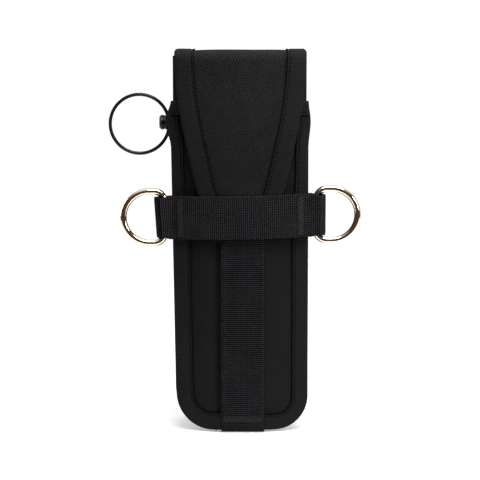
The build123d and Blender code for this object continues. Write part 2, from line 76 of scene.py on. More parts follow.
# Metres.  X to the right, Y from the front panel to the back panel, Z up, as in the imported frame.
MM = 0.001
SHELL_LOW, SHELL_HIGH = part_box("front_shell")
BACK_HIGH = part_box("back_shell")[1]
STRIP_LOW, STRIP_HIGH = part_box("front_strip")
KEEPER_LOW, KEEPER_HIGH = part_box("keeper_strap")
TOP_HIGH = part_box("flap_top_shell")[1]
GUSSET_LOW, GUSSET_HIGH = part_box("gusset")
LOOP_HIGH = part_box("belt_loop")[1]
LEFT_RING_LOW, LEFT_RING_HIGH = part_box("d_ring_left")
RIGHT_RING_LOW, RIGHT_RING_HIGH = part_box("d_ring_right")

FRONT_THICK = 4.0 * MM
ROOM = -SHELL_LOW.y - FRONT_THICK  # from the axis of the cylinder to the inside of each panel
ARCH_HALF = 59.0 * MM
ARCH_RISE = 12.0 * MM
ARCH_RADIUS = (ARCH_HALF**2 + ARCH_RISE**2) / (2 * ARCH_RISE)
ARCH_CENTRE = ARCH_RADIUS - ROOM
FLAP_RADIUS = 260.0 * MM

MOUTH = SHELL_HIGH.z
FOOT = SHELL_LOW.z
HALF_LOW = {-1: 55.8 * MM, 1: 58.8 * MM}  # half widths of the panels at the foot, left and right
HALF_TOP = {-1: 59.6 * MM, 1: 58.3 * MM}  # and from the gusset's top upward
CORNERS = {-1: 31.0 * MM, 1: 27.5 * MM}  # the foot is rounded a little less on the right
EAR_LOW, EAR_MIDDLE, EAR_HIGH = 250.0 * MM, 273.0 * MM, 291.0 * MM
EAR_LEFT, EAR_RIGHT = -SHELL_LOW.x, SHELL_HIGH.x
STRIP_MIDDLE = (STRIP_LOW.x + STRIP_HIGH.x) / 2
STRIP_DEPTH = 5.65 * MM  # from the inside of the front panel to the middle of the strip
STRIP_CURL = 1.6 * MM  # how far the strip's left edge stands off the front panel
STRIP_TUCK = 2.4 * MM  # how deep the panel is drawn in beside it
STRIP_REST = 0.8 * MM  # how far the foam fills the room under it
KEEPER_DEPTH = 9.4 * MM  # from the inside of the front panel to the middle of the keeper
LOOP_FREE = (112.0 * MM, 204.0 * MM)  # the belt loop stands off the back between these heights
EDGE_STEP = 1.7 * MM  # along a binding tape, from one row of its mesh to the next
EDGE_REACH = 0.4 * MM  # how far a binding tape reaches past the edge that it covers
MOUTH_TAPE, BACK_TAPE, HEM_TAPE = 12.0 * MM, 13.0 * MM, 9.0 * MM
TACK = 6.0 * MM  # width of a bar tack
STITCH_SHARE = 0.7  # the share of a stitch's pitch that its thread shows
FORWARD, BACKWARD = Vector((0, -1, 0)), Vector((0, 1, 0))


# ------------------------------------------------------------------ sizes and colours a user would change
def linear(code):
    """An sRGB hex colour as linear red, green and blue."""
    parts = [int(code[place : place + 2], 16) / 255 for place in (1, 3, 5)]
    return tuple(part / 12.92 if part <= 0.04045 else ((part + 0.055) / 1.055) ** 2.4 for part in parts)


def length_property(name, default_mm, description):
    return FloatProperty(
        name=name, description=description, default=default_mm * MM, min=0.0, unit="LENGTH", precision=5
    )


def colour_property(name, code, description):
    return FloatVectorProperty(
        name=name, description=description, default=linear(code), size=3, min=0.0, max=1.0, subtype="COLOR"
    )


def cloth_sizes():
    return bpy.context.scene.holster_sizes


def finish_colours():
    return bpy.context.scene.holster_colours


class HolsterSizes(bpy.types.PropertyGroup):
    """Sizes of the cloth goods."""

    webbing_width: length_property("Webbing width", 38.0, "Width of the keeper, load strip and belt loop")
    webbing_thick: length_property("Webbing thickness", 1.6, "Thickness of one layer of webbing")
    rib_pitch: length_property("Rib pitch", 1.8, "Distance between the ribs across the webbing")
    yarn_pitch: length_property("Yarn pitch", 2.1, "Distance between the warp yarns along the webbing")
    weave_pitch: length_property("Weave pitch", 1.25, "Width of one bundle of yarn in the packcloth")
    tape_low: length_property("Lower tape width", 15.2, "Front panel's binding tape below the keeper")
    tape_high: length_property("Upper tape width", 10.6, "Front panel's binding tape above the keeper")
    flap_tape: length_property("Flap tape width", 16.2, "Binding tape along the sides of the flap")
    tape_thick: length_property("Tape thickness", 0.8, "Thickness of the binding tape")
    thread: length_property("Thread", 0.55, "Thickness of the sewing thread")
    stitch: length_property("Stitch pitch", 3.5, "Distance from one stitch to the next")
    seam_inset: length_property("Seam inset", 2.4, "From the inner edge of a tape to its stitches")
    swell: length_property("Swell", 2.2, "How far the foam may press the cloth out")


class HolsterColours(bpy.types.PropertyGroup):
    """Colours of the finishes."""

    cloth: colour_property("Packcloth", "#131313", "Black ballistic nylon")
    cloth_light: colour_property("Packcloth yarn", "#262525", "Crowns of the yarns of the packcloth")
    # painted highlight: paler yarn crowns on the flap stand in for the light that the flap catches
    flap_highlight: colour_property("Flap highlight yarn", "#302f2f", "Crowns of the yarns on the flap")
    webbing: colour_property("Webbing", "#050505", "Grooves of the nylon webbing")
    webbing_light: colour_property("Webbing ribs", "#302f31", "Crowns of the ribs of the webbing")
    tape: colour_property("Binding tape", "#101010", "Grooves of the black grosgrain binding tape")
    tape_light: colour_property("Tape ribs", "#262525", "Crowns of the ribs of the binding tape")
    thread: colour_property("Thread", "#101010", "Bonded polyester thread")
    tack: colour_property("Bar tack thread", "#3b3a3b", "Rubbed thread of the bar tacks")
    nickel: colour_property("Nickel plate", "#e6d8c6", "Polished nickel on the D-rings")
    ring_wire: colour_property("Ring wire", "#242425", "Black oxide on the pull ring")
    anodised: colour_property("Black anodising", "#17181a", "Plunger and gauge case")
    skin: colour_property("Cylinder", "#c3c6c9", "Bare satin aluminium of the cylinder")
    chrome: colour_property("Chrome", "#cfd2d4", "Satin chrome on the valve")
    brass: colour_property("Brass", "#c9a45c", "Machined brass plugs")
    rubber: colour_property("Rubber", "#1d1d1d", "Moulded rubber")
    plastic: colour_property("Plastic", "#232426", "Moulded nylon plastic of the regulator")
    button: colour_property("Purge button", "#e0b01c", "Yellow acetal button")
    dial: colour_property("Dial", "#eceae2", "Printed dial plate")


# ------------------------------------------------------------------ shapes shared by the pieces
def arch_y(x, depth):
    """Depth position of the arched front panel, counted forward from its inside face."""
    radius = ARCH_RADIUS + depth
    return ARCH_CENTRE - math.sqrt(radius * radius - x * x)


def on_front(x, z, depth):
    return Vector((x, arch_y(x, depth), z))


def on_back(x, z, depth):
    return Vector((x, -depth, z))


def smooth_step(value, low, high):
    part = min(max((value - low) / (high - low), 0.0), 1.0)
    return part * part * (3 - 2 * part)


def blend_between(value, knots):
    """A smooth curve through (position, value) knots."""
    knots = sorted(knots)
    value = min(max(value, knots[0][0]), knots[-1][0])
    slopes = []
    for place in range(len(knots)):
        before = knots[max(place - 1, 0)]
        after = knots[min(place + 1, len(knots) - 1)]
        slopes.append((after[1] - before[1]) / (after[0] - before[0]))
    for place in range(len(knots) - 1):
        (low, first), (high, last) = knots[place], knots[place + 1]
        if value <= high:
            span = high - low
            t = (value - low) / span
            rise = 2 * t**3 - 3 * t**2
            return (
                (1 + rise) * first
                - rise * last
                + (t**3 - 2 * t**2 + t) * span * slopes[place]
                + (t**3 - t**2) * span * slopes[place + 1]
            )
    return knots[-1][1]


def evenly(points, step):
    """Points a step apart along a line through the given points, and their distance along it."""
    lengths = [0.0]
    for before, after in zip(points, points[1:]):
        lengths.append(lengths[-1] + (after - before).length)
    count = max(2, round(lengths[-1] / step))
    spaced, place = [], 0
    for number in range(count + 1):
        wanted = lengths[-1] * number / count
        while place < len(points) - 2 and lengths[place + 1] < wanted:
            place += 1
        span = lengths[place + 1] - lengths[place]
        part = (wanted - lengths[place]) / span if span else 0.0
        spaced.append((points[place].lerp(points[place + 1], part), wanted))
    return spaced


def arc(centre, radius, start, end, steps=16):
    """Points of an arc in a plane, in degrees."""
    x, y = centre
    turns = [math.radians(start + (end - start) * step / steps) for step in range(steps + 1)]
    return [Vector((x + radius * math.cos(turn), y + radius * math.sin(turn))) for turn in turns]


def through(points, fineness=12):
    """A smooth line through a few points, as a Catmull-Rom curve."""
    line = []
    for place in range(len(points) - 1):
        before = points[max(place - 1, 0)]
        start, end = points[place], points[place + 1]
        after = points[min(place + 2, len(points) - 1)]
        for step in range(fineness):
            t = step / fineness
            line.append(
                0.5
                * (
                    2 * start
                    + (end - before) * t
                    + (2 * before - 5 * start + 4 * end - after) * t**2
                    + (3 * start - before - 3 * end + after) * t**3
                )
            )
    return line + [points[-1]]


def ear(z, side):
    """How far the front panel swells over the end of the valve at that height."""
    peak = (EAR_LEFT if side < 0 else EAR_RIGHT) - HALF_TOP[side]
    if z < EAR_MIDDLE:
        return peak * smooth_step(z, EAR_LOW, EAR_MIDDLE)
    return peak * (1 - smooth_step(z, EAR_MIDDLE, EAR_HIGH))


def panel_half(z, side, ears=True):
    """Half width of a panel at a height, with round bottom corners."""
    part = min(max((z - FOOT) / (EAR_LOW - FOOT), 0), 1)
    half = HALF_LOW[side] + (HALF_TOP[side] - HALF_LOW[side]) * part
    corner = CORNERS[side]
    if z < FOOT + corner:
        half -= corner - math.sqrt(max(corner**2 - (FOOT + corner - z) ** 2, 0.0))
    return half + (ear(z, side) if ears else 0.0)


def graded_height(v, share, top):
    """Heights that lie closer together along the round corners, which take the first share of the rows."""
    corner = max(CORNERS.values())
    if v < share:
        return FOOT + corner * (1 - math.cos(v / share * math.pi / 2))
    return FOOT + corner + (top - FOOT - corner) * (v - share) / (1 - share)


def panel_edge(top, ears, step):
    """The edge of a panel from its top left corner, down, along the foot and up to the top right."""
    sides = {}
    for side, corner in CORNERS.items():
        straight = HALF_LOW[side] - corner
        heights = [FOOT + corner + (top - FOOT - corner) * number / 60 for number in range(1, 61)]
        points = [Vector((straight, FOOT))] + arc((straight, FOOT + corner), corner, -90, -2)
        points += [Vector((panel_half(z, side, ears), z)) for z in heights]
        sides[side] = [Vector((side * point.x, point.y)) for point in points]
    return evenly(list(reversed(sides[-1])) + sides[1], step)


def outward(points, place):
    """The direction out of the cloth at a point of an edge that keeps the cloth on its left."""
    before = points[max(place - 1, 0)][0]
    after = points[min(place + 1, len(points) - 1)][0]
    along = (after - before).normalized()
    return Vector((along.y, -along.x))


def fold_over(v, width, near, far, reach):
    """The section of a tape folded over an edge: an offset outward, a depth and the distance in from the
    nearer of its two sewn edges."""
    radius = (far - near) / 2
    flat = width + reach - radius
    whole = 2 * flat + math.pi * radius
    place = v * whole
    inward = min(place, whole - place)
    if place < flat:
        return place - width, near, inward
    if place > whole - flat:
        return whole - place - width, far, inward
    turn = (place - flat) / radius
    return reach - radius + radius * math.sin(turn), (near + far) / 2 - radius * math.cos(turn), inward


# ------------------------------------------------------------------ making pieces
def new_piece(name, shape, materials):
    mesh = bpy.data.meshes.new(name)
    shape.to_mesh(mesh)
    shape.free()
    mesh.shade_smooth()
    for material in materials:
        mesh.materials.append(material)
    piece = bpy.data.objects.new(name, mesh)
    bpy.context.scene.collection.objects.link(piece)
    return piece


def lay_cloth(name, columns, rows, place, materials):
    """A grid of cloth.  place(u, v) gives a point in space and its place on the flat cut, in metres."""
    cut = bmesh.new()
    bmesh.ops.create_grid(cut, x_segments=columns, y_segments=rows, size=0.5)
    layer = cut.loops.layers.uv.new("cut")
    flat = {}
    for vertex in cut.verts:
        vertex.co, flat[vertex] = place(vertex.co.x + 0.5, vertex.co.y + 0.5)
    for loop in [loop for face in cut.faces for loop in face.loops]:
        loop[layer].uv = flat[loop.vert]
    return new_piece(name, cut, materials)


def settle(piece):
    """Keep what the modifiers make as the piece's own mesh."""
    view = bpy.context.evaluated_depsgraph_get()
    finished = bpy.data.meshes.new_from_object(piece.evaluated_get(view))
    old = piece.data
    piece.modifiers.clear()
    piece.data = finished
    finished.name = piece.name
    bpy.data.meshes.remove(old)
    return piece


def thicken(piece, thickness, offset=0.0, lining=False):
    """Give cloth its thickness; offset -1 keeps the laid side where it is."""
    wall = piece.modifiers.new("wall", "SOLIDIFY")
    wall.thickness = thickness
    wall.offset = offset
    wall.use_even_offset = False
    if lining:
        wall.material_offset = 1
    edge = piece.vertex_groups.get("thin")
    if edge:
        wall.vertex_group = "thin"
        wall.thickness_vertex_group = 0.3
    return settle(piece)


def press_out(piece, held, pressure, cap):
    """Let the foam press the cloth out between its seams, as a short cloth simulation kept in the mesh."""
    start = [vertex.co.copy() for vertex in piece.data.vertices]
    seams = piece.vertex_groups.new(name="seams")
    seams.add([number for number, point in enumerate(start) if held(point)], 1.0, "REPLACE")
    cloth = piece.modifiers.new("cloth", "CLOTH")
    cloth.settings.vertex_group_mass = "seams"
    cloth.settings.mass = 0.3
    cloth.settings.tension_stiffness = 25
    cloth.settings.compression_stiffness = 25
    cloth.settings.bending_stiffness = 2.0
    cloth.settings.use_pressure = True
    cloth.settings.uniform_pressure_force = pressure
    cloth.settings.effector_weights.gravity = 0
    cloth.collision_settings.use_collision = False
    scene = bpy.context.scene
    for number in range(1, 16):
        scene.frame_set(number)
    view = bpy.context.evaluated_depsgraph_get()
    pressed = [vertex.co.copy() for vertex in piece.evaluated_get(view).data.vertices]
    scene.frame_set(1)
    piece.modifiers.remove(cloth)
    piece.vertex_groups.remove(seams)
    for vertex, before, after in zip(piece.data.vertices, start, pressed):
        move = after - before
        vertex.co = before + move * min(1.0, cap / max(move.length, 1e-9))


def stitch_matrix(start, end, thickness, normal):
    """Puts a unit ball along one stitch, as long as the stitch and flattened a little on the cloth."""
    along = end - start
    across = normal.cross(along).normalized()
    up = along.normalized().cross(across)
    turn = Matrix((along.normalized(), across, up)).transposed().to_4x4()
    size = Matrix.Diagonal((along.length / 2, thickness / 2, thickness * 0.42, 1.0))
    return Matrix.Translation((start + end) / 2) @ turn @ size


def sew(name, seams, material):
    """Stitches of thread, each from one point to another on the cloth with the cloth's normal."""
    thread = bmesh.new()
    thickness = cloth_sizes().thread
    for start, end, normal in seams:
        matrix = stitch_matrix(start, end, thickness, normal)
        bmesh.ops.create_icosphere(thread, subdivisions=2, radius=1.0, matrix=matrix)
    return new_piece(name, thread, [material])


def run_stitches(line):
    """Stitches in a row along (point, normal) pairs that lie a stitch apart, a little uneven."""
    found = []
    for (start, normal), (end, _) in zip(line, line[1:]):
        uneven = noise.noise(start * 700)
        gap = (1 - STITCH_SHARE + 0.25 * uneven) / 2
        aside = (end - start).cross(normal).normalized() * 0.25 * MM * uneven
        found.append((start.lerp(end, gap) + aside, start.lerp(end, 1 - gap) - aside, normal))
    return found


def zigzag(corner, along, across, normal, turns):
    """A bar tack: thread laid to and fro between two sides."""
    found = []
    for number in range(turns):
        low = corner + along * (number / turns)
        middle = corner + along * ((number + 0.5) / turns)
        high = corner + along * ((number + 1) / turns)
        found.append((low, middle + across, normal))
        found.append((middle + across, high, normal))
    return found


def dress(piece, body, slot, *nodes):
    """Say what a piece rides on and hide the CAD nodes it stands for; slot, the finish it takes, is not
    used.
    """
    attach(piece, body)
    if nodes:
        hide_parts(*nodes)
    return piece


# ------------------------------------------------------------------ materials
def add_node(tree, kind, inputs=None, **settings):
    """Add a node, set its settings, and set or link its inputs."""
    made = tree.nodes.new(kind)
    for name, value in settings.items():
        setattr(made, name, value)
    for name, value in (inputs or {}).items():
        if isinstance(value, bpy.types.NodeSocket):
            tree.links.new(value, made.inputs[name])
        else:
            made.inputs[name].default_value = value
    return made


def start_material(name):
    """An empty node material with its output, or None and the material if it is already there."""
    found = bpy.data.materials.get(name)
    if found:
        return None, found
    material = bpy.data.materials.new(name)
    material.use_nodes = True
    material.node_tree.nodes.clear()
    return material.node_tree, material


def finish_material(tree, **inputs):
    """The shader of a material and its output; an input's name has _ for each space."""
    named = {key.replace("_", " "): value for key, value in inputs.items()}
    shader = add_node(tree, "ShaderNodeBsdfPrincipled", named)
    add_node(tree, "ShaderNodeOutputMaterial", {"Surface": shader.outputs["BSDF"]})


def rgba(colour):
    return (*colour, 1.0)


def yarn_waves(tree, across, along, product):
    """Crossing yarns as a height from 0 to 1 on the flat cut: a chequer, or ribs over faint yarns."""
    cut = add_node(tree, "ShaderNodeUVMap", uv_map="cut")
    parts = add_node(tree, "ShaderNodeSeparateXYZ", {"Vector": cut.outputs["UV"]})
    waves = []
    for axis, pitch in (("X", along), ("Y", across)):
        turn = add_node(
            tree, "ShaderNodeMath", {0: parts.outputs[axis], 1: math.pi / pitch}, operation="MULTIPLY"
        )
        waves.append(add_node(tree, "ShaderNodeMath", {0: turn.outputs[0]}, operation="SINE"))
    if not product:
        waves = [
            add_node(tree, "ShaderNodeMath", {0: wave.outputs[0]}, operation="ABSOLUTE") for wave in waves
        ]
        waves[1] = add_node(
            tree, "ShaderNodeMath", {0: waves[1].outputs[0], 1: 0.45, 2: 0.55}, operation="MULTIPLY_ADD"
        )
    crossed = add_node(
        tree, "ShaderNodeMath", {0: waves[0].outputs[0], 1: waves[1].outputs[0]}, operation="MULTIPLY"
    )
    if not product:
        return crossed.outputs[0]
    lifted = add_node(
        tree, "ShaderNodeMath", {0: crossed.outputs[0], 1: 0.5, 2: 0.5}, operation="MULTIPLY_ADD"
    )
    return lifted.outputs[0]


def fibre_noise(tree, size, detail=3.0):
    """Fine unevenness of a surface, with features of about that size in metres."""
    place = add_node(tree, "ShaderNodeTexCoord")
    return add_node(
        tree, "ShaderNodeTexNoise", {"Vector": place.outputs["Object"], "Scale": 1 / size, "Detail": detail}
    ).outputs["Fac"]


def mixed(tree, share, dark, light):
    ramp = add_node(tree, "ShaderNodeMix", {"Factor": share}, data_type="RGBA")
    ramp.inputs[6].default_value = rgba(dark)
    ramp.inputs[7].default_value = rgba(light)
    return ramp.outputs[2]


def painted_seam_shadow(tree, places):
    """A mask for painted shadow: 1 on thin lines along a tape, given as distances from its inner edge, and 0
    elsewhere.
    """
    cut = add_node(tree, "ShaderNodeUVMap", uv_map="cut")
    parts = add_node(tree, "ShaderNodeSeparateXYZ", {"Vector": cut.outputs["UV"]})
    shade = None
    for place in places:
        away = add_node(tree, "ShaderNodeMath", {0: parts.outputs["Y"], 1: place}, operation="SUBTRACT")
        size = add_node(tree, "ShaderNodeMath", {0: away.outputs[0]}, operation="ABSOLUTE")
        line = add_node(
            tree,
            "ShaderNodeMapRange",
            {
                "Value": size.outputs[0],
                "From Min": 0.25 * MM,
                "From Max": 0.8 * MM,
                "To Min": 1.0,
                "To Max": 0.0,
            },
        ).outputs["Result"]
        if shade:
            line = add_node(tree, "ShaderNodeMath", {0: shade, 1: line}, operation="MAXIMUM").outputs[0]
        shade = line
    return shade


def cloth_material(name, dark, light, across, along, product, bump, sheen, crisp=1.9, seams=(), depth=0.0):
    """Any woven nylon: crossing yarns, a little fuzz and a soft sheen at the edges.

    across and along are the yarns' pitches, product is true for a plain weave and false for ribs, crisp is
    how sharply the crowns stand out, depth how much of them stays dark and seams the distances from a tape's
    inner edge of lines where painted shadow darkens the colour.  The cloth has no gloss."""
    tree, material = start_material(name)
    if tree is None:
        return material
    yarns = yarn_waves(tree, across, along, product)
    fuzz = fibre_noise(tree, 0.9 * MM)
    worn = fibre_noise(tree, 14 * MM, 2.0)
    share = add_node(tree, "ShaderNodeMath", {0: yarns, 1: fuzz}, operation="MULTIPLY")
    patchy = add_node(tree, "ShaderNodeMath", {0: worn, 1: 0.4, 2: 0.8}, operation="MULTIPLY_ADD")
    crowns = add_node(
        tree, "ShaderNodeMath", {0: share.outputs[0], 1: patchy.outputs[0]}, operation="MULTIPLY"
    )
    wider = add_node(
        tree,
        "ShaderNodeMath",
        {0: crowns.outputs[0], 1: crisp, 2: -depth},
        operation="MULTIPLY_ADD",
        use_clamp=True,
    )
    rough = add_node(tree, "ShaderNodeMapRange", {"Value": fuzz, "To Min": 0.55, "To Max": 0.8})
    relief = add_node(tree, "ShaderNodeMath", {0: fuzz, 1: 0.25, 2: yarns}, operation="MULTIPLY_ADD")
    grain = add_node(
        tree, "ShaderNodeBump", {"Height": relief.outputs[0], "Distance": bump, "Strength": 0.9}
    )
    colour = mixed(tree, wider.outputs[0], dark, light)
    # painted shadow: along the given lines the colour is darkened to 0.4 of the groove colour, standing in
    # for the shade in the tape's grooves
    if seams:
        seam_shadow_mix = add_node(tree, "ShaderNodeMix", {"Factor": painted_seam_shadow(tree, seams)}, data_type="RGBA")
        tree.links.new(colour, seam_shadow_mix.inputs[6])
        seam_shadow_mix.inputs[7].default_value = rgba([part * 0.4 for part in dark])
        colour = seam_shadow_mix.outputs[2]
    finish_material(
        tree,
        Base_Color=colour,
        Roughness=rough.outputs["Result"],
        Specular_IOR_Level=0.0,
        Sheen_Weight=sheen,
        Sheen_Roughness=0.4,
        Normal=grain.outputs["Normal"],
    )
    return material


def packcloth():
    """Ballistic nylon, woven from thick yarn bundles: a fine chequer of crossing crowns, dull black.
    The real bundles are about 0.9 mm wide and are drawn a little coarser so that they show."""
    colours, pitch = finish_colours(), cloth_sizes().weave_pitch
    return cloth_material(
        "ballistic_nylon", colours.cloth, colours.cloth_light, pitch, pitch, True, 0.18 * MM, 0.02, crisp=1.5
    )


def flap_cloth():
    """The same ballistic nylon stretched over the flap's foam, as a lit copy: painted highlight makes its
    yarn crowns paler and painted shade its grooves darker than on the packcloth.
    """
    colours, pitch = finish_colours(), cloth_sizes().weave_pitch
    # painted light: the webbing's darker groove colour and the paler crown colour give the flap more
    # contrast than the packcloth, for the light it catches
    return cloth_material(
        "flap_lit_ballistic_nylon",
        colours.webbing,
        colours.flap_highlight,
        pitch,
        pitch,
        True,
        0.4 * MM,
        0.02,
        crisp=1.7,
    )


def lining_cloth():
    """Coated nylon lining, woven finer than the outside and smoother to the eye."""
    colours = finish_colours()
    return cloth_material(
        "coated_nylon_lining", colours.cloth, colours.cloth_light, 0.8 * MM, 0.8 * MM, True, 0.08 * MM, 0.01
    )


def webbing():
    """Woven nylon webbing: ribs across, divided by the warp yarns, with a slight lustre."""
    colours, sizes = finish_colours(), cloth_sizes()
    return cloth_material(
        "nylon_webbing",
        colours.webbing,
        colours.webbing_light,
        sizes.yarn_pitch,
        sizes.rib_pitch,
        False,
        0.4 * MM,
        0.015,
        crisp=2.3,
        depth=0.25,
    )


def binding_tape():
    """Grosgrain tape: fine ribs across a soft strip, with painted shadow darkening its inner edge and its
    stitch line.
    """
    colours, sizes = finish_colours(), cloth_sizes()
    return cloth_material(
        "grosgrain_tape",
        colours.tape,
        colours.tape_light,
        1.6 * MM,
        1.1 * MM,
        False,
        0.12 * MM,
        0.02,
        # painted shadow along the tape's inner edge and along its stitch line
        seams=(0.2 * MM, sizes.seam_inset),
    )


def thread_material(name, dark, light):
    """Bonded polyester thread: smooth, twisted and a little shinier than the cloth."""
    tree, material = start_material(name)
    if tree:
        twist = fibre_noise(tree, 0.5 * MM)
        grain = add_node(tree, "ShaderNodeBump", {"Height": twist, "Distance": 0.05 * MM, "Strength": 0.5})
        finish_material(
            tree,
            Base_Color=mixed(tree, twist, light, dark),
            Roughness=0.6,
            Specular_IOR_Level=0.15,
            Normal=grain.outputs["Normal"],
        )
    return material


def sewing_thread():
    """The black thread of the seams."""
    colours = finish_colours()
    return thread_material("bonded_thread", colours.thread, colours.cloth_light)


def tack_thread():
    """The heavier thread of the bar tacks, worn paler where it stands proud of the webbing."""
    colours = finish_colours()
    return thread_material("rubbed_bonded_thread", colours.thread, colours.tack)


def metal_material(name, colour, roughness, spread, grain_size, bump):
    """A metal with a fine grain in its gloss and a faint relief."""
    tree, material = start_material(name)
    if tree:
        grain = fibre_noise(tree, grain_size)
        rough = add_node(
            tree,
            "ShaderNodeMapRange",
            {"Value": grain, "To Min": roughness - spread, "To Max": roughness + spread},
        )
        relief = add_node(tree, "ShaderNodeBump", {"Height": grain, "Distance": bump, "Strength": 0.3})
        shade = [part * 0.9 for part in colour]
        finish_material(
            tree,
            Base_Color=mixed(tree, grain, shade, colour),
            Metallic=1.0,
            Roughness=rough.outputs["Result"],
            Normal=relief.outputs["Normal"],
        )
    return material


def nickel_plate():
    """Polished nickel plate on steel wire: a warm mirror with the faintest ripple of the drawn wire."""
    return metal_material("polished_nickel", finish_colours().nickel, 0.09, 0.04, 6 * MM, 0.05 * MM)


def satin_chrome():
    """Satin chrome on turned brass: bright with a soft blurred gloss."""
    return metal_material("satin_chrome", finish_colours().chrome, 0.28, 0.06, 0.8 * MM, 0.02 * MM)


def cylinder_metal():
    """Spun and brushed aluminium: pale, with a fine random grain."""
    return metal_material("spun_aluminium", finish_colours().skin, 0.38, 0.08, 0.7 * MM, 0.03 * MM)


def machined_brass():
    """Machined brass: warm yellow metal with fine tool marks."""
    return metal_material("machined_brass", finish_colours().brass, 0.3, 0.08, 0.6 * MM, 0.02 * MM)


def coated_material(name, colour, roughness, grain_size, bump, metallic=0.0, coat=0.0):
    """A solid finish with a fine grain, such as plastic, rubber, enamel or a dark skin on metal."""
    tree, material = start_material(name)
    if tree:
        grain = fibre_noise(tree, grain_size)
        rough = add_node(
            tree,
            "ShaderNodeMapRange",
            {"Value": grain, "To Min": roughness - 0.08, "To Max": roughness + 0.08},
        )
        relief = add_node(tree, "ShaderNodeBump", {"Height": grain, "Distance": bump, "Strength": 0.5})
        light = [min(part * 1.35, 1.0) for part in colour]
        finish_material(
            tree,
            Base_Color=mixed(tree, grain, colour, light),
            Metallic=metallic,
            Roughness=rough.outputs["Result"],
            Coat_Weight=coat,
            Normal=relief.outputs["Normal"],
        )
    return material


def black_oxide():
    """Black oxide on spring wire: a thin dark skin with a low metal gloss."""
    return coated_material("black_oxide_wire", finish_colours().ring_wire, 0.34, 1.5 * MM, 0.02 * MM, 0.8)


def black_anodised():
    """Black anodised aluminium: an even dark satin with a dry bead-blasted grain."""
    return coated_material("black_anodised", finish_colours().anodised, 0.42, 0.5 * MM, 0.02 * MM, 0.6)


def moulded_rubber():
    """Moulded nitrile rubber: matt, slightly dusty black."""
    return coated_material("moulded_rubber", finish_colours().rubber, 0.72, 0.9 * MM, 0.04 * MM)


def nylon_pile():
    """Hook and loop tape: cut nylon hooks and brushed loops, a rough dull pile."""
    return coated_material("nylon_pile", finish_colours().rubber, 0.85, 1.0 * MM, 0.6 * MM)


def moulded_nylon():
    """Glass-filled nylon plastic: spark-eroded mould texture and a low gloss."""
    return coated_material("moulded_nylon", finish_colours().plastic, 0.5, 0.6 * MM, 0.05 * MM)


def yellow_acetal():
    """Yellow acetal, moulded: clean, bright and softly glossy."""
    return coated_material("yellow_acetal", finish_colours().button, 0.32, 1.2 * MM, 0.01 * MM, coat=0.3)


def dial_enamel():
    """White stove enamel on the dial plate."""
    return coated_material("dial_enamel", finish_colours().dial, 0.4, 1.0 * MM, 0.005 * MM)


def clear_lens():
    """Clear polycarbonate lens: see-through with a sharp gloss."""
    tree, material = start_material("clear_polycarbonate")
    if tree:
        smear = fibre_noise(tree, 5 * MM)
        rough = add_node(tree, "ShaderNodeMapRange", {"Value": smear, "To Min": 0.02, "To Max": 0.07})
        finish_material(
            tree,
            Base_Color=rgba(linear("#f6f8f8")),
            Roughness=rough.outputs["Result"],
            IOR=1.58,
            Transmission_Weight=1.0,
        )
    return material


def repaint(material, *names):
    """Give CAD nodes that keep their shape a finish of their own."""
    for name in names:
        for slot in frame["nodes"][name].material_slots:
            slot.material = material


# ------------------------------------------------------------------ holster: panels and gusset
def front_tape_width(x, z):
    """The front binding is wide below the keeper and narrow above it."""
    sizes = cloth_sizes()
    low = sizes.tape_low if x < 0 else sizes.tape_low * 0.9
    return low + (sizes.tape_high - low) * smooth_step(z, KEEPER_LOW.z, KEEPER_HIGH.z + 25 * MM)


def crown(x, z, half, low, high, rise):
    """A soft pillow: rise in the middle of a field, nothing at its edges."""
    across = 1 - (x / half) ** 2
    up = min((z - low) / (30 * MM), (high - z) / (20 * MM), 1.0)
    return rise * max(across, 0.0) ** 0.5 * max(up, 0.0) ** 0.5


def make_front_panel():
    """The arched front panel.  Below the keeper its foam fills the room under the load strip, and a tuck
    runs down beside the strip's left edge."""
    sizes = cloth_sizes()

    def place(u, v):
        z = graded_height(v, 0.22, MOUTH)
        half = panel_half(z, 1 if u > 0.5 else -1)
        x = (2 * u - 1) * (half - 0.4 * MM)
        ripple = noise.noise(Vector((x * 38, z * 22, 4.1))) * 0.35 * MM
        below = 1 - smooth_step(z, KEEPER_LOW.z - 6 * MM, KEEPER_LOW.z)
        inside = half - front_tape_width(x, z) - abs(x)
        puff = STRIP_REST * smooth_step(inside, 0, 8 * MM) * smooth_step(z, 16 * MM, 24 * MM)
        beside = (x - STRIP_LOW.x + 1.0 * MM) / (2.0 * MM)
        tuck = STRIP_TUCK * math.exp(-(beside**2))
        return on_front(x, z, FRONT_THICK - 0.2 * MM + ripple + (puff - tuck) * below), (x, z)

    panel = lay_cloth("front_panel", 96, 150, place, [packcloth(), lining_cloth()])

    def held(point):
        inside = panel_half(point.z, 1 if point.x > 0 else -1) - front_tape_width(point.x, point.z)
        near_strip = abs(point.x - STRIP_MIDDLE) < sizes.webbing_width / 2 + 2 * MM
        under_strip = near_strip and point.z < KEEPER_HIGH.z
        under_keeper = KEEPER_LOW.z - MM < point.z < KEEPER_HIGH.z + MM
        rim = point.z < FOOT + sizes.tape_low or point.z > MOUTH - sizes.tape_high
        return abs(point.x) > inside or under_strip or under_keeper or rim

    press_out(panel, held, 3.0, sizes.swell)
    thicken(panel, FRONT_THICK - 0.4 * MM, -1.0, True)
    dress(panel, "holster", "nylon_cloth", "front_shell", "front_foam", "front_lining")


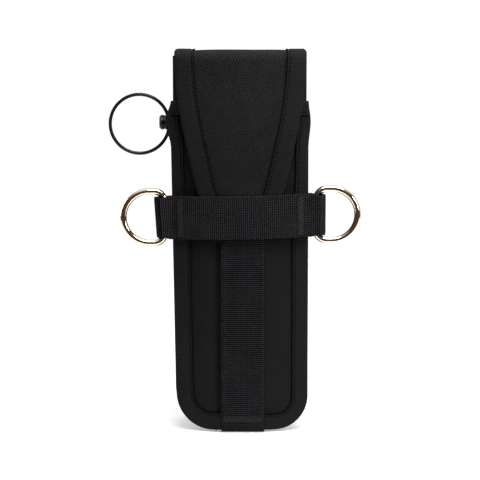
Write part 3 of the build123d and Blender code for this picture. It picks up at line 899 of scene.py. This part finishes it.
def make_edge_tape(name, edge, surface, width, near, far, rows):
    """A tape folded over the edge of a panel and sewn, with a groove along its stitches."""
    sizes = cloth_sizes()
    count = len(edge) - 1

    def place(u, v):
        number = round(u * count)
        point, along = edge[number]
        out = outward(edge, number)
        wide = width(point.x, point.y)
        offset, depth, across = fold_over(v, wide, near, far, EDGE_REACH)
        from_seam = (offset + wide - sizes.seam_inset) / (0.9 * MM)
        lift = 0.45 * MM * (1 - math.exp(-(from_seam**2)))
        lift += 0.15 * MM * noise.noise(Vector((along * 160, across * 90, near * 50)))
        depth += lift if v > 0.5 else -lift
        spot = point + out * offset
        return surface(spot.x, spot.y, depth), (along, across)

    tape = lay_cloth(name, count, rows, place, [binding_tape()])
    return thicken(tape, sizes.tape_thick)


def edge_stitches(edge, surface, width, depth, outside):
    """One row of stitches along the tape's inner edge."""
    sizes = cloth_sizes()
    spots = []
    for number, (point, _) in enumerate(edge):
        inset = width(point.x, point.y) - sizes.seam_inset
        spots.append(point - outward(edge, number) * inset)
    line = [(surface(spot.x, spot.y, depth), outside) for spot, _ in evenly(spots, sizes.stitch)]
    return run_stitches(line)


class AIRSET_OT_front_panel(bpy.types.Operator):
    """Sew the arched, padded front panel with its bindings"""

    bl_idname = "airset.front_panel"
    bl_label = "Front panel"

    def execute(self, context):
        make_front_panel()
        edge = panel_edge(MOUTH, True, EDGE_STEP)
        far = FRONT_THICK + 0.4 * MM
        tape = make_edge_tape("front_binding_tape", edge, on_front, front_tape_width, -0.2 * MM, far, 40)
        dress(tape, "holster", "binding_tape", "front_binding")
        seams = edge_stitches(edge, on_front, front_tape_width, FRONT_THICK + 0.75 * MM, FORWARD)
        dress(sew("front_binding_stitches", seams, sewing_thread()), "holster", "thread")

        def mouth_width(x, z):
            return MOUTH_TAPE

        # the mouth's tape runs over the top edge, from ear to ear, over the ends of the side tape
        reach = 0.6 * MM
        across = [Vector((side * (panel_half(MOUTH, side) + reach), MOUTH)) for side in (1, -1)]
        mouth_edge = evenly(across, EDGE_STEP)
        far = FRONT_THICK + 1.1 * MM
        mouth = make_edge_tape("mouth_binding_tape", mouth_edge, on_front, mouth_width, -0.9 * MM, far, 36)
        dress(mouth, "holster", "binding_tape", "mouth_binding")
        seams = edge_stitches(mouth_edge, on_front, mouth_width, far + 0.45 * MM, FORWARD)
        dress(sew("mouth_binding_stitches", seams, sewing_thread()), "holster", "thread")
        return {"FINISHED"}


class AIRSET_OT_back_panel(bpy.types.Operator):
    """Sew the stiffened back panel with its binding"""

    bl_idname = "airset.back_panel"
    bl_label = "Back panel"

    def execute(self, context):
        top = BACK_HIGH.z
        thick = BACK_HIGH.y - ROOM

        def place(u, v):
            z = graded_height(v, 0.2, top)
            x = (1 - 2 * u) * (panel_half(z, 1 if u < 0.5 else -1, False) - 0.4 * MM)
            puff = crown(x, z, 44 * MM, FOOT + 15 * MM, top - 12 * MM, 0.6 * MM)
            puff += noise.noise(Vector((x * 30, z * 20, 9.3))) * 0.25 * MM
            return Vector((x, BACK_HIGH.y - 0.2 * MM + puff, z)), (x, z)

        panel = lay_cloth("back_panel", 56, 130, place, [packcloth(), lining_cloth()])
        thicken(panel, thick - 0.4 * MM, -1.0, True)
        dress(panel, "holster", "nylon_cloth", "back_shell", "back_stiffener", "back_lining")

        def width(x, z):
            return BACK_TAPE

        edge = panel_edge(top, False, EDGE_STEP)
        behind, before = -BACK_HIGH.y - 0.4 * MM, -ROOM + 0.2 * MM
        tape = make_edge_tape("back_binding_tape", edge, on_back, width, behind, before, 36)
        dress(tape, "holster", "binding_tape", "back_binding")
        seams = edge_stitches(edge, on_back, width, behind - 0.45 * MM, BACKWARD)
        seams += edge_stitches(edge, on_back, width, before + 0.45 * MM, FORWARD)
        dress(sew("back_binding_stitches", seams, sewing_thread()), "holster", "thread")
        return {"FINISHED"}


class AIRSET_OT_gusset(bpy.types.Operator):
    """Sew the gusset that joins the panels and hem its two ends"""

    bl_idname = "airset.gusset"
    bl_label = "Gusset"

    def execute(self, context):
        foot, top = GUSSET_LOW.z + MM, GUSSET_HIGH.z
        inset = foot - FOOT
        sides = {}
        for side in (-1, 1):
            corner, low = CORNERS[side] - inset, HALF_LOW[side] - inset
            points = arc((low - corner, foot + corner), corner, -90, 0)
            points += [Vector((HALF_TOP[side] - inset, top))]
            sides[side] = [Vector((side * point.x, point.y)) for point in points]
        path = evenly(list(reversed(sides[-1])) + sides[1], 2.2 * MM)
        count = len(path) - 1

        def place(u, v):
            number = round(u * count)
            point, along = path[number]
            out = outward(path, number)
            front = arch_y(point.x, 0)
            y = front + (ROOM - front) * (1 - v)
            sag = 0.7 * MM * math.sin(math.pi * v) * noise.noise(Vector((along * 30, v * 2.0, 1.7)))
            spot = point + out * sag
            return Vector((spot.x, y, spot.y)), (along, y)

        cloth = lay_cloth("gusset_cloth", count, 26, place, [packcloth(), lining_cloth()])
        thicken(cloth, 1.6 * MM, 0.0, True)
        dress(cloth, "holster", "nylon_cloth", "gusset")

        for side, name in ((-1, "gusset_hem_left"), (1, "gusset_hem_right")):
            half = HALF_TOP[side] - inset
            front = arch_y(half, 0) + 0.4 * MM
            back = ROOM - 0.4 * MM
            hem_edge = evenly([Vector((-side * front, top)), Vector((-side * back, top))], 1.6 * MM)

            def surface(a, z, depth, side=side, half=half):
                return Vector((side * (half + depth), -side * a, z))

            hem = make_edge_tape(name, hem_edge, surface, lambda x, z: HEM_TAPE, -1.2 * MM, 1.2 * MM, 18)
            dress(hem, "holster", "binding_tape")
        return {"FINISHED"}


# ------------------------------------------------------------------ webbing
def make_ribbon(name, line, normals, shift=None):
    """Webbing along a line of points: ribs across it, warp yarns along it, thinner at its selvedges.

    line holds (point, distance), normals the outward side, and shift(point, across) may bend it."""
    sizes = cloth_sizes()
    width, thick = sizes.webbing_width, sizes.webbing_thick
    count, columns = len(line) - 1, 38

    def place(u, v):
        number = round(u * count)
        (centre, along), normal = line[number], normals[number]
        before = line[max(number - 1, 0)][0]
        after = line[min(number + 1, count)][0]
        side = (after - before).normalized().cross(normal).normalized()
        across = (v - 0.5) * width
        point = centre + side * across
        if shift:
            point = shift(point, across)
        rib_height = 0.10 * MM * abs(math.sin(math.pi * along / sizes.rib_pitch))
        return point + normal * rib_height, (along, across)

    ribbon = lay_cloth(name, count, columns, place, [webbing()])
    thin = ribbon.vertex_groups.new(name="thin")
    for vertex in ribbon.data.vertices:
        row = vertex.index // (count + 1)
        from_edge = min(row, columns - row)
        thin.add([vertex.index], min(1.0, 0.35 + 0.3 * from_edge), "REPLACE")
    return thicken(ribbon, thick * 0.9)


def flat_normals(line, sideways):
    """Normals of a line that runs in a plane, where sideways is the width direction."""
    found = []
    for number in range(len(line)):
        before = line[max(number - 1, 0)][0]
        after = line[min(number + 1, len(line) - 1)][0]
        found.append(sideways.cross((after - before).normalized()).normalized())
    return found


def keeper_height(x):
    """The keeper is pulled a little higher on the right."""
    left = (LEFT_RING_LOW.z + LEFT_RING_HIGH.z) / 2
    right = (RIGHT_RING_LOW.z + RIGHT_RING_HIGH.z) / 2
    return (left + right) / 2 + (right - left) / 2 * max(-1.0, min(1.0, x / (66 * MM)))


def keeper_line():
    """Round the left ring, across the front and round the right ring, seen from above: at each end the
    webbing folds round the ring's bar and lies under itself again."""
    bar = (68 * MM, (LEFT_RING_LOW.y + LEFT_RING_HIGH.y) / 2)
    fold, under = 5.4 * MM, 6.2 * MM
    half = [Vector((x * MM, arch_y(x * MM, under))) for x in (46, 52, 58)]
    half += arc(bar, fold, 75, -82, 14)
    front = [Vector((x * MM, arch_y(x * MM, KEEPER_DEPTH - 0.2 * MM))) for x in (59, 50)]
    middle = [Vector((x * MM, arch_y(x * MM, KEEPER_DEPTH) - 0.5 * MM)) for x in (38, 20, 0, -20, -38)]
    right = half + front
    left = [Vector((-point.x, point.y)) for point in reversed(right)]
    flat = through(right + middle + left, 10)
    return [Vector((point.x, point.y, keeper_height(point.x))) for point in flat]


def strip_line():
    """Down the front, under the foot and a little way up the back, seen from the side."""
    front = arch_y(STRIP_MIDDLE, STRIP_DEPTH)
    behind = STRIP_HIGH.y - 0.8 * MM
    under = STRIP_LOW.z + 0.8 * MM
    bend = 4.0 * MM
    points = [Vector((front, STRIP_HIGH.z + 20 * MM)), Vector((front, under + 60 * MM))]
    points += arc((front + bend, under + bend), bend, 180, 270, 10)
    points += arc((behind - bend, under + bend), bend, 270, 360, 10)
    points += [Vector((behind, 34 * MM))]
    return [Vector((STRIP_MIDDLE, point.x, point.y)) for point in points]


def loop_line():
    """The belt loop: sewn flat on the back below and above, standing off in between."""
    touching, off = STRIP_HIGH.y + 0.1 * MM, LOOP_HIGH.y - 0.8 * MM
    low, high = LOOP_FREE
    points = [
        Vector((touching + 1.5 * MM, 22 * MM)),
        Vector((touching, 40 * MM)),
        Vector((touching, low - 12 * MM)),
        Vector((touching, low)),
        Vector((off - 0.6 * MM, low + 11 * MM)),
        Vector((off, (low + high) / 2)),
        Vector((off - 0.6 * MM, high - 11 * MM)),
        Vector((touching, high)),
        Vector((touching, high + 12 * MM)),
        Vector((touching, LOOP_HIGH.z)),
    ]
    return [Vector((STRIP_MIDDLE, point.x, point.y)) for point in through(points, 10)]


class AIRSET_OT_webbing(bpy.types.Operator):
    """Lay the keeper with its ring tabs, the load strip and the belt loop, and bar tack them"""

    bl_idname = "airset.webbing"
    bl_label = "Webbing"

    def execute(self, context):
        sizes = cloth_sizes()
        step = sizes.rib_pitch / 4
        line = evenly(keeper_line(), step)
        up = Vector((0, 0, 1))

        def slant(point, across):
            at_fold = smooth_step(abs(point.x), 60 * MM, 68 * MM)
            lean = -0.06 if point.x < 0 else 0.0
            return point + Vector((lean * across, 0, 0.07 * (keeper_height(point.x) - point.z))) * at_fold

        keeper = make_ribbon("keeper_webbing", line, flat_normals(line, up), slant)
        dress(keeper, "holster", "webbing", "keeper_strap", "ring_tab_left", "ring_tab_right")

        middle = arch_y(STRIP_MIDDLE, STRIP_DEPTH)

        def bend_to_front(point, across):
            onto = smooth_step(point.z, 3 * MM, 14 * MM) * (1 if point.y < 0 else 0)
            curled = STRIP_CURL * smooth_step(STRIP_MIDDLE - point.x, 12 * MM, 19 * MM)
            curled *= smooth_step(point.z, 16 * MM, 40 * MM)
            curled *= 1 - smooth_step(point.z, KEEPER_LOW.z - 12 * MM, KEEPER_LOW.z)
            return point + Vector((0, (arch_y(point.x, STRIP_DEPTH) - middle - curled) * onto, 0))

        line = evenly(strip_line(), step)
        right = Vector((1, 0, 0))
        strip = make_ribbon("load_strip", line, flat_normals(line, right), bend_to_front)
        dress(strip, "holster", "webbing", "front_strip")

        line = evenly(loop_line(), step)
        loop = make_ribbon("belt_loop_webbing", line, flat_normals(line, -right))
        dress(loop, "holster", "webbing", "belt_loop")
        self.tack()
        return {"FINISHED"}

    def tack(self):
        """The bar tacks: upright at both ends of the keeper, lying at the strip's foot and on the loop."""
        sizes = cloth_sizes()
        width = sizes.webbing_width
        depth = KEEPER_DEPTH + 0.8 * MM
        seams = []
        for x in (-55.4 * MM, 49.4 * MM):
            low = keeper_height(x) - width / 2 + 2.5 * MM
            corner = on_front(x, low, depth)
            across = on_front(x + TACK, low, depth) - corner
            seams += zigzag(corner, Vector((0, 0, width - 5 * MM)), across, FORWARD, 17)
        dress(sew("keeper_tack_threads", seams, tack_thread()), "holster", "thread", "keeper_bartacks")

        seams = []
        left, sewn = STRIP_LOW.x + 2 * MM, width - 4 * MM
        low, depth, turns = 9 * MM, STRIP_DEPTH + MM, 15
        up = Vector((0, 0, TACK))
        for number in range(turns):
            x = left + sewn * number / turns
            corner = on_front(x, low, depth)
            along = on_front(x + sewn / turns, low, depth) - corner
            seams += zigzag(corner, along, up, FORWARD, 1)
        x = STRIP_HIGH.x - 1.5 * MM
        for number in range(48):
            z = 17 * MM + number * sizes.stitch
            ends = [on_front(x, height, STRIP_DEPTH + 0.95 * MM) for height in (z, z + 2.4 * MM)]
            seams.append((*ends, FORWARD))
        dress(sew("strip_tack_threads", seams, tack_thread()), "holster", "thread", "strip_bartack")

        seams = []
        behind = STRIP_HIGH.y + 0.95 * MM
        for low in (100 * MM, 207 * MM, 229 * MM):
            seams += zigzag(Vector((left, behind, low)), Vector((sewn, 0, 0)), up, BACKWARD, turns)
        dress(sew("loop_tack_threads", seams, tack_thread()), "holster", "thread", "belt_loop_bartacks")


# ------------------------------------------------------------------ flap
FLAP_SHEET = 3.0 * MM
# Millimetres: the flap's half width, and how far its padding bulges, at each height.
FLAP_EDGE = ((335, 56.4), (295, 53.6), (250, 45.2), (211, 36.2), (181, 28.0))
FLAP_BULGE = ((305, 0), (285, 0.8), (265, 1.5), (245, 1.4), (225, 0.7), (205, 0), (181, 0))


def flap_half(z, y):
    """Half width of the flap: straight over the top, tapering down the front."""
    if y > -22 * MM:
        return TOP_HIGH.x + MM
    return blend_between(z / MM, FLAP_EDGE) * MM


def flap_line():
    """The flap seen from the side, from its seam on the back, over the top, to the tip of its tongue."""
    behind = BACK_HIGH.y + 2.4 * MM
    top = TOP_HIGH.z - 0.6 * MM
    front = -ROOM - 6.8 * MM
    bend = 5.0 * MM
    run_in = (9 * MM, 4 * MM, 1.5 * MM)
    points = [Vector((behind, 308 * MM))] + [Vector((behind, top - bend - away)) for away in run_in]
    points += arc((behind - bend, top - bend), bend, 0, 90, 8)
    points += [Vector((behind - bend - away, top + 0.02 * away)) for away in reversed(run_in)]
    points += [Vector((y * MM, top + 0.5 * MM)) for y in (8, 0, -8)]
    points += [Vector((front + bend + away, top + 0.02 * away)) for away in run_in]
    points += arc((front + bend, top - bend), bend, 90, 180, 8)
    points += [Vector((front, top - bend - away)) for away in reversed(run_in)]
    points += [Vector((front - out * MM, z * MM)) for z, out in FLAP_BULGE]
    return through(points, 6)


class FlapSurface:
    """The middle of the flap's cloth: a point for each distance along it, place across it and height."""

    def __init__(self):
        self.line = evenly(flap_line(), 0.5 * MM)
        self.whole = self.line[-1][1]

    def number(self, along):
        last = len(self.line) - 1
        return min(max(round(along / self.whole * last), 0), last)

    def at(self, along, x, lift):
        number = self.number(along)
        point = self.line[number][0]
        before = self.line[max(number - 2, 0)][0]
        after = self.line[min(number + 2, len(self.line) - 1)][0]
        run = (after - before).normalized()
        normal = Vector((-run.y, run.x)) * -1
        spot = point + normal * lift
        return Vector((x, spot.x + self.curve(x, point), spot.y))

    def curve(self, x, point):
        """The front leaf bows forward across its width, and its tongue lies on the front panel."""
        forward = smooth_step(-point.x, 8 * MM, 34 * MM)
        bow = FLAP_RADIUS - math.sqrt(FLAP_RADIUS**2 - x * x)
        radius = ARCH_RADIUS + 6.8 * MM
        panel_bow = radius - math.sqrt(radius**2 - x * x)
        tucked = 1 - smooth_step(point.y, KEEPER_HIGH.z - 4 * MM, KEEPER_HIGH.z + 26 * MM)
        return forward * (bow + (panel_bow - bow) * tucked)

    def half(self, along):
        point = self.line[self.number(along)][0]
        return flap_half(point.y, point.x)

    def distance_of(self, test):
        """The first distance along the flap where a test on (y, z) holds."""
        return next(along for point, along in self.line if test(point))


class AIRSET_OT_flap(bpy.types.Operator):
    """Sew the flap in two leaves that meet on top, with its side tapes and stitches"""

    bl_idname = "airset.flap"
    bl_label = "Flap"

    def execute(self, context):
        surface = FlapSurface()
        seam = surface.distance_of(lambda point: point.y > 320 * MM and point.x < 19 * MM)
        self.leaf(surface, "flap_rear", 0.0, seam + 3 * MM)
        self.leaf(surface, "flap_front", seam - 3 * MM, surface.whole)
        return {"FINISHED"}

    def leaf(self, surface, name, start, end):
        sizes = cloth_sizes()
        rows = round((end - start) / (1.6 * MM))
        front = name == "flap_front"

        def place(u, v):
            along = end + (start - end) * v
            half = surface.half(along) - 0.5 * MM
            x = (2 * u - 1) * half
            inner = max(half - sizes.flap_tape, 1 * MM)
            puff = 0.7 * MM * max(1 - (x / inner) ** 2, 0.0) ** 0.5
            wave = 0.5 * MM * noise.noise(Vector((x * 24, along * 17, 2.2)))
            lift = FLAP_SHEET / 2 - 0.1 * MM + puff + wave
            return surface.at(along, x, lift), (x, along)

        leaf = lay_cloth(name + "_leaf", 80, rows, place, [flap_cloth(), lining_cloth()])
        if front:

            def held(point):
                reach = flap_half(point.z, point.y) - sizes.flap_tape
                return abs(point.x) > reach or point.z < KEEPER_HIGH.z + 4 * MM or point.y > -30 * MM

            press_out(leaf, held, 3.0, sizes.swell)
        thicken(leaf, FLAP_SHEET - 0.3 * MM, -1.0, True)
        self.bend(leaf, front, "nylon_cloth")
        if front:
            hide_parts("flap_front_shell", "flap_front_foam", "flap_front_lining", "flap_tongue")
        else:
            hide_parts("flap_top_shell", "flap_top_lining")
        self.side_tapes(surface, name, start, end, front)

    def bend(self, piece, front, slot):
        """Bake a piece's placement into its mesh, the same way for the front and the rear leaf."""
        fold_y, top = -ROOM - 5 * MM, TOP_HIGH.z
        if front:
            start, end = (0, fold_y + 11 * MM, top + 3 * MM), (0, fold_y - 2 * MM, top - 12 * MM)
            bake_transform(piece)
            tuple(start)
            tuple(end)
        else:
            start, end = (0, BACK_HIGH.y + 3 * MM, top - 12 * MM), (0, BACK_HIGH.y - 8 * MM, top + 2 * MM)
            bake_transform(piece)
            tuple(start)
            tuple(end)

    def side_tapes(self, surface, name, start, end, front):
        sizes = cloth_sizes()
        count = round((end - start) / (1.5 * MM))
        half_cloth = FLAP_SHEET / 2 + 0.25 * MM
        seams = []
        for side, word in ((-1, "left"), (1, "right")):

            def place(u, v, side=side):
                along = start + (end - start) * (u if side < 0 else 1 - u)
                offset, depth, across = fold_over(v, sizes.flap_tape, -half_cloth, half_cloth, EDGE_REACH)
                from_seam = (offset + sizes.flap_tape - sizes.seam_inset) / (1.0 * MM)
                lift = 0.6 * MM * (1 - math.exp(-(from_seam**2)))
                lift += 0.2 * MM * noise.noise(Vector((along * 120, across * 80, side * 3.0)))
                depth += lift if v > 0.5 else -lift * 0.3
                x = side * (surface.half(along) + offset)
                return surface.at(along, x, depth), (along, across)

            tape = lay_cloth(f"{name}_tape_{word}", count, 44, place, [binding_tape()])
            thicken(tape, sizes.tape_thick)
            self.bend(tape, front, "binding_tape")
            if front:
                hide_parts(f"flap_binding_{word}")
            elif side < 0:
                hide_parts("flap_top_bindings")
            def sewn(along, lift, side=side):
                x = side * (surface.half(along) - sizes.flap_tape + sizes.seam_inset)
                return surface.at(along, x, lift)

            stitches = round((end - start) / sizes.stitch)
            for number in range(stitches):
                along = start + (end - start) * number / stitches
                later = along + sizes.stitch * STITCH_SHARE
                lift = half_cloth + 0.42 * MM
                normal = sewn(along, 5 * MM) - sewn(along, 0)
                seams.append((sewn(along, lift), sewn(later, lift), normal.normalized()))
        stitched = sew(f"{name}_stitches", seams, sewing_thread())
        self.bend(stitched, front, "thread")


# ------------------------------------------------------------------ rings and plunger
class AIRSET_OT_rings(bpy.types.Operator):
    """Finish the D-rings, the pull ring and the plunger it hangs in"""

    bl_idname = "airset.rings"
    bl_label = "Rings and plunger"

    def execute(self, context):
        repaint(nickel_plate(), "d_ring_left", "d_ring_right")
        repaint(black_oxide(), "pull_ring")
        repaint(black_anodised(), "pull_plunger")
        return {"FINISHED"}


# ------------------------------------------------------------------ cylinder, valve and gauge
class AIRSET_OT_valve(bpy.types.Operator):
    """Finish the air cylinder, the cross valve and the gauge"""

    bl_idname = "airset.valve"
    bl_label = "Cylinder, valve and gauge"

    def execute(self, context):
        repaint(cylinder_metal(), "air_cylinder")
        repaint(satin_chrome(), "valve_body", "gland_nut", "gauge_bezel")
        repaint(machined_brass(), "burst_plug", "fill_plug", "valve_seat")
        repaint(moulded_rubber(), "cylinder_boot", "neck_oring", "gland_oring")
        repaint(black_anodised(), "gauge_case")
        repaint(dial_enamel(), "gauge_dial")
        repaint(clear_lens(), "gauge_lens")
        repaint(black_oxide(), "gauge_pointer")
        self.dial_marks()
        return {"FINISHED"}

    def dial_marks(self):
        """Printed division lines round the dial, every fifth one longer."""
        low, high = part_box("gauge_dial")
        middle = (low + high) / 2
        radius = (high.z - low.z) / 2
        marks = bmesh.new()
        for number in range(31):
            turn = math.radians(-135 + 9 * number)
            long = number % 5 == 0
            length, wide = (2.4 * MM, 0.4 * MM) if long else (1.3 * MM, 0.2 * MM)
            out = radius - 0.8 * MM - length / 2
            place = Matrix.Translation((high.x + 0.03 * MM, middle.y, middle.z))
            place = place @ Matrix.Rotation(turn, 4, "X")
            size = Matrix.Diagonal((0.05 * MM, wide, length, 1.0))
            bmesh.ops.create_cube(marks, size=1.0, matrix=place @ Matrix.Translation((0, 0, out)) @ size)
        dress(new_piece("gauge_marks", marks, [black_oxide()]), "holster", "dark_wire")


class AIRSET_OT_regulator(bpy.types.Operator):
    """Finish the demand regulator and its mouthpiece"""

    bl_idname = "airset.regulator"
    bl_label = "Demand regulator"

    def execute(self, context):
        moulded = ("regulator_housing", "regulator_cover", "exhaust_cover", "mouthpiece_clamp")
        repaint(moulded_nylon(), *moulded)
        repaint(machined_brass(), "inlet_nozzle")
        repaint(satin_chrome(), "demand_lever", "cover_screws", "diaphragm_plate")
        repaint(moulded_rubber(), "diaphragm", "exhaust_valve", "mouthpiece")
        repaint(yellow_acetal(), "purge_button")
        repaint(nylon_pile(), "hook_patch", "loop_patch")
        self.purge_coil()
        return {"FINISHED"}

    def purge_coil(self):
        """The spring under the button, made a piece of its own from the CAD spring's mesh."""
        coil = bmesh.new()
        coil.from_mesh(frame["nodes"]["purge_spring"].data)
        bmesh.ops.remove_doubles(coil, verts=coil.verts, dist=0.01 * MM)
        joints = {joint["name"]: joint for joint in frame["record"]["behaviour"]["joints"]}
        start, end = joints["purge_press"]["range_m"]
        piece = dress(new_piece("purge_coil", coil, [satin_chrome()]), "holster", "steel", "purge_spring")
        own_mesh(piece)


# ------------------------------------------------------------------ stage
def stage_paint():
    """A matt white acrylic table, lit faintly from below."""
    tree, material = start_material("white_table")
    if tree:
        finish_material(
            tree,
            Base_Color=rgba(linear("#f4f4f4")),
            Roughness=0.9,
            Specular_IOR_Level=0.05,
            Emission_Color=rgba(linear("#ffffff")),
            Emission_Strength=0.3,
        )
    return material


def studio_air():
    """The room: white where it is looked at.  In what it lights and mirrors, a bright ceiling and a bright
    backdrop behind the set, and a dark, warm room on the camera's side and below the table."""
    world = bpy.data.worlds.new("studio")
    world.use_nodes = True
    tree = world.node_tree
    tree.nodes.clear()
    ray = add_node(tree, "ShaderNodeLightPath")
    place = add_node(tree, "ShaderNodeTexCoord")
    parts = add_node(tree, "ShaderNodeSeparateXYZ", {"Vector": place.outputs["Generated"]})
    ceiling = add_node(
        tree, "ShaderNodeMapRange", {"Value": parts.outputs["Z"], "From Min": 0.5, "From Max": 0.95}
    )
    backdrop = add_node(
        tree,
        "ShaderNodeMapRange",
        {"Value": parts.outputs["Y"], "From Min": 0.0, "From Max": 0.6, "To Max": 0.8},
    )
    bright = add_node(
        tree,
        "ShaderNodeMath",
        {0: ceiling.outputs["Result"], 1: backdrop.outputs["Result"]},
        operation="MAXIMUM",
    )
    room = mixed(tree, bright.outputs[0], [part * 0.75 for part in linear("#55453d")], (1.0, 1.0, 1.0))
    dim = add_node(tree, "ShaderNodeBackground", {"Color": room, "Strength": 1.2})
    white = add_node(tree, "ShaderNodeBackground", {"Color": rgba(linear("#ffffff")), "Strength": 1.05})
    both = add_node(
        tree,
        "ShaderNodeMixShader",
        {0: ray.outputs["Is Camera Ray"], 1: dim.outputs["Background"], 2: white.outputs["Background"]},
    )
    add_node(tree, "ShaderNodeOutputWorld", {"Surface": both.outputs["Shader"]})
    return world


def aim(thing, target):
    direction = Vector(target) - thing.location
    thing.rotation_euler = direction.to_track_quat("-Z", "Y").to_euler()


def add_light(name, place, target, size, power, colour="#ffffff"):
    data = bpy.data.lights.new(name, "AREA")
    data.shape = "RECTANGLE"
    data.size, data.size_y = size
    data.energy = power
    data.color = linear(colour)
    lamp = bpy.data.objects.new(name, data)
    lamp.location = place
    bpy.context.scene.collection.objects.link(lamp)
    aim(lamp, target)


class AIRSET_OT_stage(bpy.types.Operator):
    """Put up the white floor, the soft lights and the camera"""

    bl_idname = "airset.stage"
    bl_label = "Stage"

    def execute(self, context):
        floor = bmesh.new()
        middle = Matrix.Translation((0, 0.35, 0)) @ Matrix.Diagonal((0.9, 0.65, 1, 1))
        bmesh.ops.create_grid(floor, x_segments=1, y_segments=1, size=1.0, matrix=middle)
        piece = new_piece("floor", floor, [stage_paint()])
        context.scene.world = studio_air()

        add_light("overhead", (0.10, -0.22, 0.70), (0, 0, 0.3), (0.5, 0.25), 4.8)
        add_light("right_side", (1.0, -0.62, 0.48), (0, 0, 0.22), (0.25, 0.5), 7.0, "#f4f6ff")
        add_light("left_side", (-1.2, 0.35, 0.5), (0, 0, 0.2), (0.3, 0.8), 3.6)

        camera = bpy.data.cameras.new("camera")
        camera.sensor_width = 36.0
        camera.lens = 127.0
        camera.clip_start, camera.clip_end = 0.05, 80
        holder = bpy.data.objects.new("camera", camera)
        target = Vector((-0.0004, 0.0, 0.1666))
        tilt, away = math.radians(8.0), 1.5
        holder.location = target + away * Vector((0, -math.cos(tilt), math.sin(tilt)))
        context.scene.collection.objects.link(holder)
        aim(holder, target)
        context.scene.camera = holder
        context.scene.view_settings.view_transform = "Standard"
        return {"FINISHED"}


# ------------------------------------------------------------------ panel and registration
OPERATORS = (
    AIRSET_OT_front_panel,
    AIRSET_OT_back_panel,
    AIRSET_OT_gusset,
    AIRSET_OT_webbing,
    AIRSET_OT_flap,
    AIRSET_OT_rings,
    AIRSET_OT_valve,
    AIRSET_OT_regulator,
    AIRSET_OT_stage,
)


class AIRSET_PT_sidebar(bpy.types.Panel):
    """Lists the pieces of the air set and their sizes and colours"""

    bl_idname = "AIRSET_PT_sidebar"
    bl_label = "Air Set"
    bl_space_type = "VIEW_3D"
    bl_region_type = "UI"
    bl_category = "Air Set"

    def draw(self, context):
        for operator in OPERATORS:
            self.layout.operator(operator.bl_idname)
        for group in (context.scene.holster_sizes, context.scene.holster_colours):
            column = self.layout.column()
            for name in group.__annotations__:
                column.prop(group, name)


CLASSES = (HolsterSizes, HolsterColours, *OPERATORS, AIRSET_PT_sidebar)


def register():
    for item in CLASSES:
        bpy.utils.register_class(item)
    bpy.types.Scene.holster_sizes = PointerProperty(type=HolsterSizes)
    bpy.types.Scene.holster_colours = PointerProperty(type=HolsterColours)


def unregister():
    del bpy.types.Scene.holster_colours
    del bpy.types.Scene.holster_sizes
    for item in reversed(CLASSES):
        bpy.utils.unregister_class(item)


def main():
    register()
    for operator in OPERATORS:
        group, name = operator.bl_idname.split(".")
        if getattr(getattr(bpy.ops, group), name)() != {"FINISHED"}:
            raise RuntimeError(f"{operator.bl_label} was not finished")


if __name__ == "__main__":
    main()
